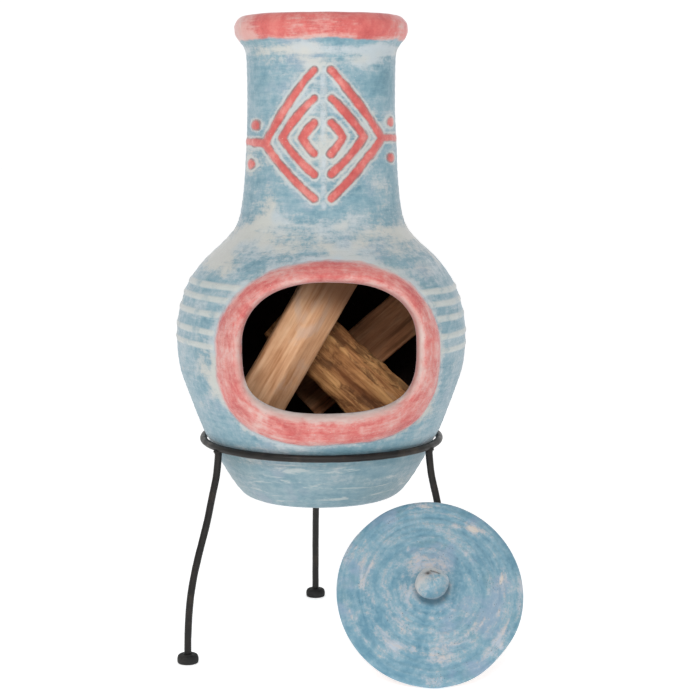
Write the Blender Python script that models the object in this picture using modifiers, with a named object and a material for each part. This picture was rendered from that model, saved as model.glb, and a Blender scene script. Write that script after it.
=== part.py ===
"""Clay chiminea on an iron tripod stand, with its lid leaning against a leg.

Everything is in metres with +Z up.  The pot's own axis is the line x = 0,
y = 0 of the design; the whole design hangs from one empty, which carries it
to the row's origin, the middle of the bottom of its overall box.
"""
import math

import bpy
import bmesh
from mathutils import Matrix, Vector

# ---------------------------------------------------------------- dimensions
ORIGIN_SHIFT = (-0.0400, 0.0030, 0.0)   # pot axis to the middle of the overall box

SIDES = 48                  # facets round every turned clay piece
GAP = 0.0003                # clearance between neighbouring pieces

RIM_TOP = 1.045             # top of the rolled rim
RIM_SEAT = 0.9997           # underside of the rolled rim
MOUTH_TURN = math.radians(3.8)      # the fire mouth looks slightly to the right
MOUTH_Z = 0.5265            # height of the middle of the fire mouth
MOUTH_HALF_W = 0.1368
MOUTH_UP = 0.0990
MOUTH_DOWN = 0.1015
COLLAR_HALF_W = 0.178
COLLAR_UP = 0.134
COLLAR_DOWN = 0.156
COLLAR_PROUD = 0.011        # how far the collar stands out of the belly

RELIEF_PROUD = 0.0035       # how far the ribs and bands stand out of the clay
RIB_W = 0.0135
DIAMOND_X = 0.005           # the diamond sits a little right of the pot's axis
BAND_W = 0.0075
BAND_HEIGHTS = (0.6110, 0.5915, 0.5680, 0.5395, 0.5172)
BAND_TILT = math.radians(1.5)

ROD_R = 0.006               # 12 mm round bar
RING_R = 0.198
RING_Z = 0.3485
FOOT_OUT = 0.2583           # foot centre from the pot's axis
FOOT_R = 0.0175
FOOT_H = 0.015
LEG_ANGLES = {"rear": 92.5, "front_left": 212.5, "front_right": 332.5}

LID_R = 0.1500
LID_TALL = 1.027             # thrown a little out of round, taller than wide

LID_LEAN = math.radians(33.0)       # face looks up by this much
LID_TURN = math.radians(1.0)        # face turns to +X by this much
LID_AT = (0.17246, -0.18682, 0.12630)  # middle of the flat underside

# ---------------------------------------------------------------- clean start
for old in list(bpy.data.objects):
    bpy.data.objects.remove(old, do_unlink=True)

scene = bpy.context.scene
parts = bpy.data.collections.new("chiminea")
cutters = bpy.data.collections.new("cutters")
scene.collection.children.link(parts)
scene.collection.children.link(cutters)

frame = bpy.data.objects.new("chiminea_frame", None)
frame.location = ORIGIN_SHIFT
parts.objects.link(frame)


# ---------------------------------------------------------------- materials
def paint(name, colour, roughness, metallic=0.0):
    mat = bpy.data.materials.new(name)
    mat.use_nodes = True
    bsdf = mat.node_tree.nodes["Principled BSDF"]
    bsdf.inputs["Base Color"].default_value = (*colour, 1.0)
    bsdf.inputs["Roughness"].default_value = roughness
    bsdf.inputs["Metallic"].default_value = metallic
    mat.diffuse_color = (*colour, 1.0)
    return mat


BLUE = (0.22, 0.42, 0.52)
CORAL = (0.72, 0.16, 0.14)
CHALK = (0.60, 0.62, 0.60)
IRON = (0.025, 0.022, 0.020)
RUBBER = (0.015, 0.015, 0.015)


# ---------------------------------------------------------------- helpers
def place(obj, collection=parts, parent=frame):
    collection.objects.link(obj)
    obj.parent = parent
    if collection is cutters:
        obj.hide_render = True
        obj.display_type = "WIRE"
    return obj


def turned(name, profile, mat=None, closed=False, collection=parts,
           steps=SIDES, parent=frame):
    """A profile of (radius, height) spun round +Z; its outer side runs down."""
    mesh = bpy.data.meshes.new(name)
    verts = [(r, 0.0, z) for r, z in profile]
    edges = [(i, i + 1) for i in range(len(verts) - 1)]
    if closed:
        edges.append((len(verts) - 1, 0))
    mesh.from_pydata(verts, edges, [])
    if mat:
        mesh.materials.append(mat)
    obj = place(bpy.data.objects.new(name, mesh), collection, parent)
    screw = obj.modifiers.new("turn", "SCREW")
    screw.axis = "Z"
    screw.angle = math.tau
    screw.steps = steps
    screw.render_steps = steps
    screw.use_merge_vertices = True
    screw.merge_threshold = 0.00001
    screw.use_smooth_shade = True
    return obj


def curve_to_mesh(obj):
    """Make a curve object a closed mesh, in the same place."""
    graph = bpy.context.evaluated_depsgraph_get()
    graph.update()
    mesh = bpy.data.meshes.new_from_object(obj.evaluated_get(graph))
    bm = bmesh.new()
    bm.from_mesh(mesh)
    bmesh.ops.remove_doubles(bm, verts=bm.verts, dist=0.00002)
    bmesh.ops.recalc_face_normals(bm, faces=bm.faces)
    bm.to_mesh(mesh)
    bm.free()
    return mesh


def slab(name, outline, thickness, matrix, collection=cutters, mat=None):
    """A flat outline in its own XY plane, made thickness thick about it."""
    data = bpy.data.curves.new(name + "_outline", "CURVE")
    data.dimensions = "2D"
    data.fill_mode = "BOTH"
    data.extrude = thickness / 2
    spline = data.splines.new("POLY")
    spline.points.add(len(outline) - 1)
    for point, (x, y) in zip(spline.points, outline):
        point.co = (x, y, 0.0, 1.0)
    spline.use_cyclic_u = True
    temp = bpy.data.objects.new(name + "_outline", data)
    scene.collection.objects.link(temp)
    mesh = curve_to_mesh(temp)
    bpy.data.objects.remove(temp, do_unlink=True)
    mesh.name = name
    if mat:
        mesh.materials.clear()
        mesh.materials.append(mat)
    obj = place(bpy.data.objects.new(name, mesh), collection)
    obj.matrix_local = matrix
    return obj


def tube(name, points, radius, mat, sides_level=2):
    """A round bar along a poly line, with its ends capped."""
    data = bpy.data.curves.new(name, "CURVE")
    data.dimensions = "3D"
    data.bevel_depth = radius
    data.bevel_resolution = sides_level
    data.use_fill_caps = True
    spline = data.splines.new("POLY")
    spline.points.add(len(points) - 1)
    for point, co in zip(spline.points, points):
        point.co = (*co, 1.0)
    obj = place(bpy.data.objects.new(name, data))
    data.materials.append(mat)
    return obj


def boolean(obj, cutter, operation):
    mod = obj.modifiers.new(operation.lower(), "BOOLEAN")
    mod.operation = operation
    mod.object = cutter
    mod.solver = "EXACT"
    return mod


def smooth_curve(points, per_span):
    """Catmull-Rom points through the given (a, b) pairs."""
    pts = [Vector(p) for p in points]
    pts = [pts[0] * 2 - pts[1]] + pts + [pts[-1] * 2 - pts[-2]]
    out = []
    for i in range(1, len(pts) - 2):
        p0, p1, p2, p3 = pts[i - 1:i + 3]
        for k in range(per_span):
            t = k / per_span
            out.append(0.5 * ((2 * p1) + (p2 - p0) * t
                              + (2 * p0 - 5 * p1 + 4 * p2 - p3) * t * t
                              + (3 * p1 - p0 - 3 * p2 + p3) * t ** 3))
    out.append(pts[-2])
    return out


# ---------------------------------------------------------------- pot profile
# outer skin of the pot below the rolled rim, (height, radius), top to bottom
OUTER = [
    (RIM_SEAT, 0.1258), (0.980, 0.1223), (0.909, 0.1223), (0.850, 0.1240),
    (0.778, 0.1280), (0.745, 0.1322), (0.719, 0.1367), (0.699, 0.1455),
    (0.679, 0.1622), (0.6525, 0.1895), (0.626, 0.2113), (0.599, 0.2257),
    (0.566, 0.2361), (0.540, 0.2396), (0.515, 0.2407), (0.490, 0.2388),
    (0.4645, 0.2345), (0.438, 0.2258), (0.410, 0.2164), (0.369, 0.2010),
    (0.3512, 0.1922), (0.320, 0.1765), (0.2905, 0.1592), (0.268, 0.1437),
    (0.257, 0.1335), (0.2505, 0.1205), (0.2487, 0.1080),
]
# inner skin, bottom to top
INNER = [
    (0.271, 0.1040), (0.276, 0.1160), (0.305, 0.1400), (0.350, 0.1690),
    (0.410, 0.1940), (0.4645, 0.2120), (0.515, 0.2180), (0.566, 0.2135),
    (0.610, 0.1985), (0.645, 0.1735), (0.675, 0.1440), (0.699, 0.1240),
    (0.730, 0.1120), (0.790, 0.1050), (0.870, 0.1015), (RIM_SEAT, 0.1015),
]


def outer_radius(z):
    for (z1, r1), (z2, r2) in zip(OUTER, OUTER[1:]):
        if z2 <= z <= z1:
            return r2 + (r1 - r2) * (z - z2) / (z1 - z2)
    return OUTER[-1][1]


def skin(z_low, z_high, rise_low, rise_high):
    """A closed (radius, height) loop lying on the outer skin.

    It covers z_low..z_high of the pot and is rise_low..rise_high above it,
    measured along the skin's own normal.
    """
    heights = [z_high] + [z for z, r in OUTER if z_low < z < z_high] + [z_low]
    pts = [Vector((outer_radius(z), z)) for z in heights]
    normals = []
    for i in range(len(pts)):
        a = pts[max(i - 1, 0)]
        b = pts[min(i + 1, len(pts) - 1)]
        d = (b - a).normalized()
        normals.append(Vector((-d.y, d.x)))
    outside = [p + n * rise_high for p, n in zip(pts, normals)]
    inside = [p + n * rise_low for p, n in zip(pts, normals)]
    return [tuple(p) for p in outside + inside[::-1]]


# ---------------------------------------------------------------- clay body
# the pot is built up in belts, joined one on another; these are the joints
BELT_JOINTS = (0.3450, 0.5265, 0.6480, 0.7050, 0.7600)


def inner_radius(z):
    for (z1, r1), (z2, r2) in zip(INNER, INNER[1:]):
        if z1 <= z <= z2:
            return r1 + (r2 - r1) * (z - z1) / (z2 - z1)
    return INNER[-1][1]


def wall(z_low, z_high):
    """A closed (radius, height) loop round the clay wall between two heights."""
    outside = ([(outer_radius(z_high), z_high)]
               + [(r, z) for z, r in OUTER if z_low < z < z_high]
               + [(outer_radius(z_low), z_low)])
    inside = ([(inner_radius(z_low), z_low)]
              + [(r, z) for z, r in INNER if z_low < z < z_high]
              + [(inner_radius(z_high), z_high)])
    return outside + inside


blue = paint("blue_clay", BLUE, 0.8)
base_top = BELT_JOINTS[0] - GAP / 2
turned(
    "clay_base",
    [(0.0, INNER[0][0])] + [(r, z) for z, r in INNER if z < base_top]
    + [(inner_radius(base_top), base_top), (outer_radius(base_top), base_top)]
    + [(r, z) for z, r in OUTER if z < base_top] + [(0.0, OUTER[-1][0])],
    blue)
belts = {}
for belt, low, high in zip(
        ("clay_belly_lower", "clay_belly_upper", "clay_shoulder", "clay_throat",
         "clay_neck"),
        BELT_JOINTS, BELT_JOINTS[1:] + (RIM_SEAT + GAP / 2,)):
    belts[belt] = turned(belt, wall(low + GAP / 2, high - GAP / 2), blue,
                         closed=True)

# the fire mouth: a plane that faces the mouth, x across and y up
mouth_dir = Vector((math.sin(MOUTH_TURN), -math.cos(MOUTH_TURN), 0.0))
mouth_side = Vector((math.cos(MOUTH_TURN), math.sin(MOUTH_TURN), 0.0))
mouth_plane = Matrix((
    (mouth_side.x, 0.0, mouth_dir.x, mouth_dir.x * 0.20),
    (mouth_side.y, 0.0, mouth_dir.y, mouth_dir.y * 0.20),
    (0.0, 1.0, 0.0, MOUTH_Z),
    (0.0, 0.0, 0.0, 1.0)))


def rounded_mouth(half_w, up, down, n_up, n_down, count=40):
    """Outline of a squashed circle whose lower corners are squarer."""
    out = []
    for i in range(count):
        a = math.tau * (i + 0.5) / count
        c, s = math.cos(a), math.sin(a)
        n = n_up if s > 0 else n_down
        h = up if s > 0 else down
        out.append((half_w * math.copysign(abs(c) ** (2 / n), c),
                    h * math.copysign(abs(s) ** (2 / n), s)))
    return out


mouth_cut = slab("mouth_cut",
                 rounded_mouth(MOUTH_HALF_W, MOUTH_UP, MOUTH_DOWN, 2.5, 3.4),
                 0.20, mouth_plane)
boolean(belts["clay_belly_lower"], mouth_cut, "DIFFERENCE")
boolean(belts["clay_belly_upper"], mouth_cut, "DIFFERENCE")

# ---------------------------------------------------------------- rolled rim
coral_rim = paint("coral_rim", CORAL, 0.75)
rim_profile = [
    (0.1150, RIM_TOP), (0.1270, RIM_TOP), (0.1350, 1.0415), (0.1400, 1.0360),
    (0.1420, 1.0290), (0.1420, 1.0220), (0.1400, 1.0130), (0.1350, 1.0050),
    (0.1290, RIM_SEAT + GAP), (0.1018, RIM_SEAT + GAP), (0.1018, 1.032),
    (0.1050, 1.0400),
]
turned("chimney_rim", rim_profile, coral_rim, closed=True)

# ---------------------------------------------------------------- mouth collar
coral_collar = paint("coral_collar", CORAL, 0.75)
collar = turned("mouth_collar", skin(0.345, 0.70, GAP, COLLAR_PROUD),
                coral_collar, closed=True)
collar_outline = slab("collar_outline",
                      rounded_mouth(COLLAR_HALF_W, COLLAR_UP, COLLAR_DOWN,
                                    2.1, 2.9),
                      0.20, mouth_plane)
collar_hole = slab("collar_hole",
                   rounded_mouth(MOUTH_HALF_W, MOUTH_UP, MOUTH_DOWN, 2.5, 3.4),
                   0.24, mouth_plane)
boolean(collar, collar_outline, "INTERSECT")
boolean(collar, collar_hole, "DIFFERENCE")

# ---------------------------------------------------------------- neck relief
# slabs that stand upright in front of the neck, x across and y up
front_plane = Matrix((
    (1.0, 0.0, 0.0, 0.0),
    (0.0, 0.0, -1.0, -0.10),
    (0.0, 1.0, 0.0, 0.0),
    (0.0, 0.0, 0.0, 1.0)))


def ribbon(points, width):
    """Outline of a band of one width that follows a bent line."""
    pts = [Vector(p) for p in points]
    left, right = [], []
    for i, p in enumerate(pts):
        dirs = []
        if i > 0:
            dirs.append((p - pts[i - 1]).normalized())
        if i < len(pts) - 1:
            dirs.append((pts[i + 1] - p).normalized())
        d = sum(dirs, Vector((0.0, 0.0))).normalized()
        n = Vector((-d.y, d.x))
        reach = width / 2 / max(0.3, n.dot(Vector((-dirs[0].y, dirs[0].x))))
        left.append(tuple(p + n * reach))
        right.append(tuple(p - n * reach))
    return left + right[::-1]


DIAMOND = {
    # name: (corner half width, top, middle, bottom)
    "outer": (0.0935, 0.9550, 0.8430, 0.7520),
    "middle": (0.0665, 0.9105, 0.8495, 0.7910),
    "inner": (0.0335, 0.8725, 0.8490, 0.8240),
}
TIP_LEFT, TIP_RIGHT = 0.0135, 0.0120    # rib tips from the diamond's middle

corner_room = {}
for label, (half, top, mid, bottom) in DIAMOND.items():
    for side, sign, tip in (("left", -1, TIP_LEFT), ("right", 1, TIP_RIGHT)):
        line = [(DIAMOND_X + sign * tip, top), (DIAMOND_X + sign * half, mid),
                (DIAMOND_X + sign * tip, bottom)]
        name = "diamond_%s_%s" % (side, label)
        prism = slab(name + "_cut", ribbon(line, RIB_W), 0.16, front_plane)
        rib = turned(name, skin(0.730, 0.985, GAP, RELIEF_PROUD),
                     paint(name + "_coral", CORAL, 0.75), closed=True)
        boolean(rib, prism, "INTERSECT")
        if label == "outer":
            corner_room[side] = slab(name + "_room",
                                     ribbon(line, RIB_W + 2 * GAP), 0.18,
                                     front_plane)

SPINE_X, SPINE_W = 0.0045, 0.0105
spine_cut = slab("diamond_spine_cut",
                 ribbon([(SPINE_X, 0.962), (SPINE_X, 0.737)], SPINE_W),
                 0.16, front_plane)
spine = turned("diamond_spine", skin(0.730, 0.985, GAP, RELIEF_PROUD - 0.001),
               paint("spine_chalk", CHALK, 0.8), closed=True)
boolean(spine, spine_cut, "INTERSECT")

# short bars that carry each outer corner round to the pot's side, and a clay
# dot above and below each
for side, sign, height in (("left", -1, 0.8405), ("right", 1, 0.8480)):
    a_start, a_end = math.radians(46.0), math.radians(92.0)
    wedge = []
    for k in range(9):
        a = a_start + (a_end - a_start) * k / 8
        wedge.append((sign * 0.16 * math.sin(a), -0.16 * math.cos(a)))
    for a in (a_end, a_start):
        wedge.append((sign * 0.09 * math.sin(a), -0.09 * math.cos(a)))
    if sign < 0:
        wedge.reverse()
    name = "neck_bar_" + side
    cut = slab(name + "_cut", wedge, 0.0125, Matrix.Translation((0, 0, height)))
    bar = turned(name, skin(0.780, 0.900, GAP, RELIEF_PROUD),
                 paint(name + "_coral", CORAL, 0.75), closed=True)
    boolean(bar, cut, "INTERSECT")
    boolean(bar, corner_room[side], "DIFFERENCE")

DOTS = {
    "neck_dot_left_top": (-60.5, 0.8680),
    "neck_dot_left_bottom": (-65.5, 0.8055),
    "neck_dot_right_top": (66.0, 0.8735),
    "neck_dot_right_bottom": (64.0, 0.8165),
}
for name, (azimuth, height) in DOTS.items():
    a = math.radians(azimuth)
    outward = Vector((math.sin(a), -math.cos(a), 0.0))
    bpy.ops.mesh.primitive_cylinder_add(vertices=16, radius=0.0078, depth=0.08)
    cut = bpy.context.object
    cut.name = name + "_cut"
    for coll in list(cut.users_collection):
        coll.objects.unlink(cut)
    place(cut, cutters)
    cut.matrix_local = (Matrix.Translation(outward * 0.13 + Vector((0, 0, height)))
                        @ outward.to_track_quat("Z", "Y").to_matrix().to_4x4()
                        @ Matrix.Diagonal((1.6, 0.95, 1.0, 1.0)))
    dot = turned(name, skin(0.780, 0.900, GAP, RELIEF_PROUD),
                 paint(name + "_coral", CORAL, 0.75), closed=True)
    boolean(dot, cut, "INTERSECT")

# ---------------------------------------------------------------- belly bands
# each band is a thin hoop on the skin, left open where the collar is
chalk = paint("chalk_bands", CHALK, 0.85)
collar_room = slab("collar_room",
                   rounded_mouth(COLLAR_HALF_W + 0.002, COLLAR_UP + 0.002,
                                 COLLAR_DOWN + 0.002, 2.1, 2.9),
                   0.26, mouth_plane)
for i, height in enumerate(BAND_HEIGHTS, 1):
    band = turned("belly_band_%d" % i,
                  skin(height - 0.024, height + 0.024, GAP, RELIEF_PROUD),
                  paint("belly_band_%d_chalk" % i, CHALK, 0.85), closed=True)
    flat = [(0.30 * math.cos(math.tau * k / 4 + math.pi / 4),
             0.30 * math.sin(math.tau * k / 4 + math.pi / 4)) for k in range(4)]
    layer = slab("belly_band_%d_cut" % i, [(x * 1.2, y * 1.2) for x, y in flat],
                 BAND_W,
                 Matrix.Translation((0, 0, height))
                 @ Matrix.Rotation(BAND_TILT, 4, "Y"))
    boolean(band, layer, "INTERSECT")
    boolean(band, collar_room, "DIFFERENCE")

# ---------------------------------------------------------------- iron stand
iron = paint("black_iron", IRON, 0.5, 0.4)
bpy.ops.mesh.primitive_torus_add(major_radius=RING_R, minor_radius=ROD_R,
                                 major_segments=SIDES, minor_segments=10)
ring = bpy.context.object
ring.name = "stand_ring"
ring.data.name = "stand_ring"
for coll in list(ring.users_collection):
    coll.objects.unlink(ring)
place(ring)
ring.location = (0.0, 0.0, RING_Z)
ring.data.materials.append(iron)
ring.data.shade_smooth()

# a leg in its own upright plane: (distance from the axis, height)
LEG_LINE = [
    (0.1980, RING_Z - ROD_R - GAP), (0.1995, 0.3250), (0.2030, 0.3000),
    (0.2110, 0.2680), (0.2195, 0.2323), (0.2291, 0.2003), (0.2387, 0.1684),
    (0.2455, 0.1427), (0.2508, 0.1169), (0.2545, 0.0907), (0.2567, 0.0643),
    (0.2580, 0.0390), (FOOT_OUT, 0.0200), (FOOT_OUT, 0.0045),
]
rubber = paint("black_rubber", RUBBER, 0.8)
for label, degrees in LEG_ANGLES.items():
    a = math.radians(degrees)
    tube("leg_" + label,
         [(r * math.cos(a), r * math.sin(a), z) for r, z in LEG_LINE],
         ROD_R, paint("iron_leg_" + label, IRON, 0.5, 0.4))
    # a pad with a blind socket that the leg's end drops into
    hub = bpy.data.objects.new("foot_hub_" + label, None)
    hub.location = (FOOT_OUT * math.cos(a), FOOT_OUT * math.sin(a), 0.0)
    hub.parent = frame
    parts.objects.link(hub)
    socket = ROD_R + 0.0006
    turned("foot_" + label,
           [(0.0, 0.0042), (socket, 0.0042), (socket, FOOT_H),
            (0.0110, FOOT_H), (0.0155, 0.0132), (FOOT_R, 0.0100),
            (FOOT_R, 0.0030), (0.0160, 0.0), (0.0, 0.0)],
           paint("rubber_foot_" + label, RUBBER, 0.8), steps=24, parent=hub)

# ---------------------------------------------------------------- lid
lid_hub = bpy.data.objects.new("lid_hub", None)
lid_hub.parent = frame
parts.objects.link(lid_hub)
face = Vector((math.sin(LID_TURN) * math.cos(LID_LEAN),
               -math.cos(LID_TURN) * math.cos(LID_LEAN), math.sin(LID_LEAN)))
across = Vector((math.cos(LID_TURN), math.sin(LID_TURN), 0.0))
upward = face.cross(across)
lid_hub.matrix_local = Matrix((
    (across.x, upward.x, face.x, LID_AT[0]),
    (across.y, upward.y, face.y, LID_AT[1]),
    (across.z, upward.z, face.z, LID_AT[2]),
    (0.0, 0.0, 0.0, 1.0)))
# shallow dome on a thick rounded edge, with a short locating boss underneath
lid_disc = turned(
    "lid_disc",
    [(0.0, 0.0375), (0.020, 0.0372), (0.045, 0.0350), (0.080, 0.0300),
     (0.115, 0.0235), (0.1360, 0.0195), (0.1450, 0.0165), (LID_R, 0.0110),
     (LID_R, 0.0055), (0.1455, 0.0), (0.0940, 0.0), (0.0900, -0.0120),
     (0.0, -0.0120)],
    paint("blue_lid", BLUE, 0.8), parent=lid_hub)
lid_disc.scale = (1.0, LID_TALL, 1.0)
turned("lid_knob",
       [(0.0, 0.0830), (0.0100, 0.0820), (0.0190, 0.0775), (0.0250, 0.0700),
        (0.0265, 0.0620), (0.0250, 0.0540), (0.0215, 0.0475),
        (0.0205, 0.0430), (0.0230, 0.0395), (0.0230, 0.0376), (0.0, 0.03785)],
       paint("blue_knob", BLUE, 0.8), parent=lid_hub, steps=24)


# ---------------------------------------------------------------- firewood
def log(name, outline, start, end, colour):
    """A split log: an outline swept from start to end, its +Y side forward."""
    a, b = Vector(start), Vector(end)
    along = (b - a).normalized()
    toward = Vector((0.0, -1.0, 0.0))
    forward = (toward - along * toward.dot(along)).normalized()
    side = forward.cross(along)
    middle = (a + b) / 2
    return slab(name, outline, (b - a).length, Matrix((
        (side.x, forward.x, along.x, middle.x),
        (side.y, forward.y, along.y, middle.y),
        (side.z, forward.z, along.z, middle.z),
        (0.0, 0.0, 0.0, 1.0))), collection=parts,
        mat=paint(name + "_wood", colour, 0.8))


# four split logs stacked crosswise, wedged between the walls of the firebox
log("log_front",
    [(0.042, 0.014), (0.038, 0.024), (-0.012, 0.029), (-0.043, 0.010),
     (-0.040, -0.020), (0.036, -0.024)],
    (-0.1070, -0.1135, 0.4130), (0.0260, -0.0974, 0.6420),
    (0.55, 0.33, 0.17))
log("log_middle",
    [(-0.047, -0.016), (-0.046, 0.020), (-0.020, 0.027), (0.038, 0.022),
     (0.058, 0.002), (0.048, -0.026), (-0.020, -0.030)],
    (-0.0635, -0.0230, 0.5560), (0.1370, -0.0710, 0.3740),
    (0.30, 0.14, 0.06))
log("log_back",
    [(-0.040, -0.018), (-0.040, 0.016), (0.012, 0.024), (0.040, 0.006),
     (0.038, -0.022)],
    (-0.0300, 0.0515, 0.4050), (0.1760, 0.0160, 0.5855),
    (0.16, 0.09, 0.05))
log("log_floor",
    [(-0.026, -0.016), (-0.024, 0.016), (0.022, 0.020), (0.027, -0.012)],
    (-0.0800, 0.0500, 0.3050), (0.1350, -0.0075, 0.3960),
    (0.28, 0.17, 0.10))
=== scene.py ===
"""Looks for the clay chiminea: painted clay pot, lid, iron stand and firewood.

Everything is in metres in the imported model's frame.  "Design" coordinates
below have the pot's own axis at x = 0, y = 0; AXIS carries them to the frame.
"""
import math

import bpy
import bmesh
import numpy as np
from mathutils import Matrix, Vector


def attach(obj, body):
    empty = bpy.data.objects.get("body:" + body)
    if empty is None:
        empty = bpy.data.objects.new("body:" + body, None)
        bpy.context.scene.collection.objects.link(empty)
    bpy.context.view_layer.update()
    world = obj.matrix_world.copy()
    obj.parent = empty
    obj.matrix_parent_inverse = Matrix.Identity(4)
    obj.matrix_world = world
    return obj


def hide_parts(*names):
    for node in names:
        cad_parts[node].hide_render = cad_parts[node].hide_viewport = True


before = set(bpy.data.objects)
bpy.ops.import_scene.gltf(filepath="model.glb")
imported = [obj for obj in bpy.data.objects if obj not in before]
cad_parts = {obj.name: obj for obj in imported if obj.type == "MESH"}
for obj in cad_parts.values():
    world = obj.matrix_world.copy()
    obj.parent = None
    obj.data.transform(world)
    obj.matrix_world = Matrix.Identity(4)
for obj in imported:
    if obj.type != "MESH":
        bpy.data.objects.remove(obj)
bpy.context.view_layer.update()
AXIS = np.array([-0.0400, 0.0030, 0.0])
scene = bpy.context.scene
looks = bpy.data.collections.new("looks")
scene.collection.children.link(looks)


# ------------------------------------------------------------------ camera
def camera():
    data = bpy.data.cameras.new("camera")
    data.lens = 1727.0 * 36.0 / 699.0
    data.sensor_width = 36.0
    data.clip_start, data.clip_end = 0.05, 60.0
    cam = bpy.data.objects.new("camera", data)
    scene.collection.objects.link(cam)
    pitch, yaw = math.radians(7.5), math.radians(0.61)
    fwd = Vector((math.sin(yaw) * math.cos(pitch),
                  math.cos(yaw) * math.cos(pitch), -math.sin(pitch)))
    right = Vector((math.cos(yaw), -math.sin(yaw), 0.0))
    up = right.cross(fwd)
    place = (AXIS[0], AXIS[1] - 2.865, 0.873)
    cam.matrix_world = Matrix((
        (right.x, up.x, -fwd.x, place[0]),
        (right.y, up.y, -fwd.y, place[1]),
        (right.z, up.z, -fwd.z, place[2]),
        (0.0, 0.0, 0.0, 1.0)))
    scene.camera = cam


camera()


# ------------------------------------------------------------------ noise
_table = np.random.default_rng(7).random((32, 32, 32)).astype(np.float32)


def vnoise(p, freq, seed=0):
    """Smooth value noise from 0 to 1 at points p (n, 3)."""
    q = p * freq + seed * 7.13
    i = np.floor(q).astype(np.int64)
    f = q - i
    f = f * f * (3 - 2 * f)
    out = 0.0
    for dx in (0, 1):
        for dy in (0, 1):
            for dz in (0, 1):
                w = (np.where(dx, f[:, 0], 1 - f[:, 0])
                     * np.where(dy, f[:, 1], 1 - f[:, 1])
                     * np.where(dz, f[:, 2], 1 - f[:, 2]))
                out = out + w * _table[(i[:, 0] + dx) % 32,
                                       (i[:, 1] + dy) % 32,
                                       (i[:, 2] + dz) % 32]
    return out


def fnoise(p, freq, octaves=3, seed=0):
    total, amp, norm = 0.0, 1.0, 0.0
    for k in range(octaves):
        total = total + amp * vnoise(p, freq * 2.03 ** k, seed + 3 * k)
        norm += amp
        amp *= 0.5
    return total / norm


def sstep(a, b, x):
    t = np.clip((x - a) / (b - a), 0.0, 1.0)
    return t * t * (3 - 2 * t)


def smax(a, b, k):
    h = np.clip(k - np.abs(a - b), 0.0, None) / k
    return np.maximum(a, b) + h * h * k * 0.25


# ------------------------------------------------------------------ pot shape
def spline(points, per_span=8):
    pts = [np.array(p, float) for p in points]
    pts = [2 * pts[0] - pts[1]] + pts + [2 * pts[-1] - pts[-2]]
    out = []
    for i in range(1, len(pts) - 2):
        p0, p1, p2, p3 = pts[i - 1:i + 3]
        for k in range(per_span):
            t = k / per_span
            out.append(0.5 * (2 * p1 + (p2 - p0) * t
                              + (2 * p0 - 5 * p1 + 4 * p2 - p3) * t * t
                              + (3 * p1 - p0 - 3 * p2 + p3) * t ** 3))
    out.append(pts[-2])
    return np.array(out)


# (radius, height), from the middle of the rim's top down the outside
OUTER = [
    (0.000, 1.0450), (0.060, 1.0450), (0.100, 1.0450), (0.1220, 1.0446),
    (0.1310, 1.0425), (0.1375, 1.0370), (0.1412, 1.0300), (0.1420, 1.0220),
    (0.1405, 1.0140), (0.1365, 1.0070), (0.1310, 1.0005), (0.1272, 0.9950),
    (0.1243, 0.9885), (0.1226, 0.9780), (0.1221, 0.9500), (0.1222, 0.9090),
    (0.1229, 0.8800), (0.1240, 0.8500), (0.1261, 0.8140), (0.1281, 0.7780),
    (0.1320, 0.7450), (0.1367, 0.7190), (0.1453, 0.6990), (0.1620, 0.6790),
    (0.1902, 0.6525), (0.2115, 0.6260), (0.2262, 0.5990), (0.2363, 0.5660),
    (0.2400, 0.5400), (0.2407, 0.5150), (0.2391, 0.4900), (0.2347, 0.4645),
    (0.2262, 0.4380), (0.2163, 0.4100), (0.2010, 0.3690), (0.1915, 0.3505),
    (0.1762, 0.3200), (0.1590, 0.2905), (0.1515, 0.2790), (0.1442, 0.2690),
    (0.1370, 0.2605), (0.1290, 0.2545), (0.1185, 0.2507), (0.1040, 0.2490),
    (0.050, 0.2487), (0.000, 0.2487)]
# the hollow, from above the rim down its wall to the middle of its floor
INNER = [
    (0.000, 1.0900), (0.100, 1.0900), (0.1020, 1.0600), (0.1015, 1.0300),
    (0.1010, 0.9900), (0.1012, 0.9000), (0.1040, 0.8000), (0.1110, 0.7400),
    (0.1240, 0.6990), (0.1440, 0.6750), (0.1735, 0.6450), (0.1985, 0.6100),
    (0.2135, 0.5660), (0.2185, 0.5150), (0.2120, 0.4645), (0.1940, 0.4100),
    (0.1690, 0.3500), (0.1400, 0.3050), (0.1240, 0.2825), (0.1040, 0.2720),
    (0.060, 0.2710), (0.000, 0.2710)]


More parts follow.
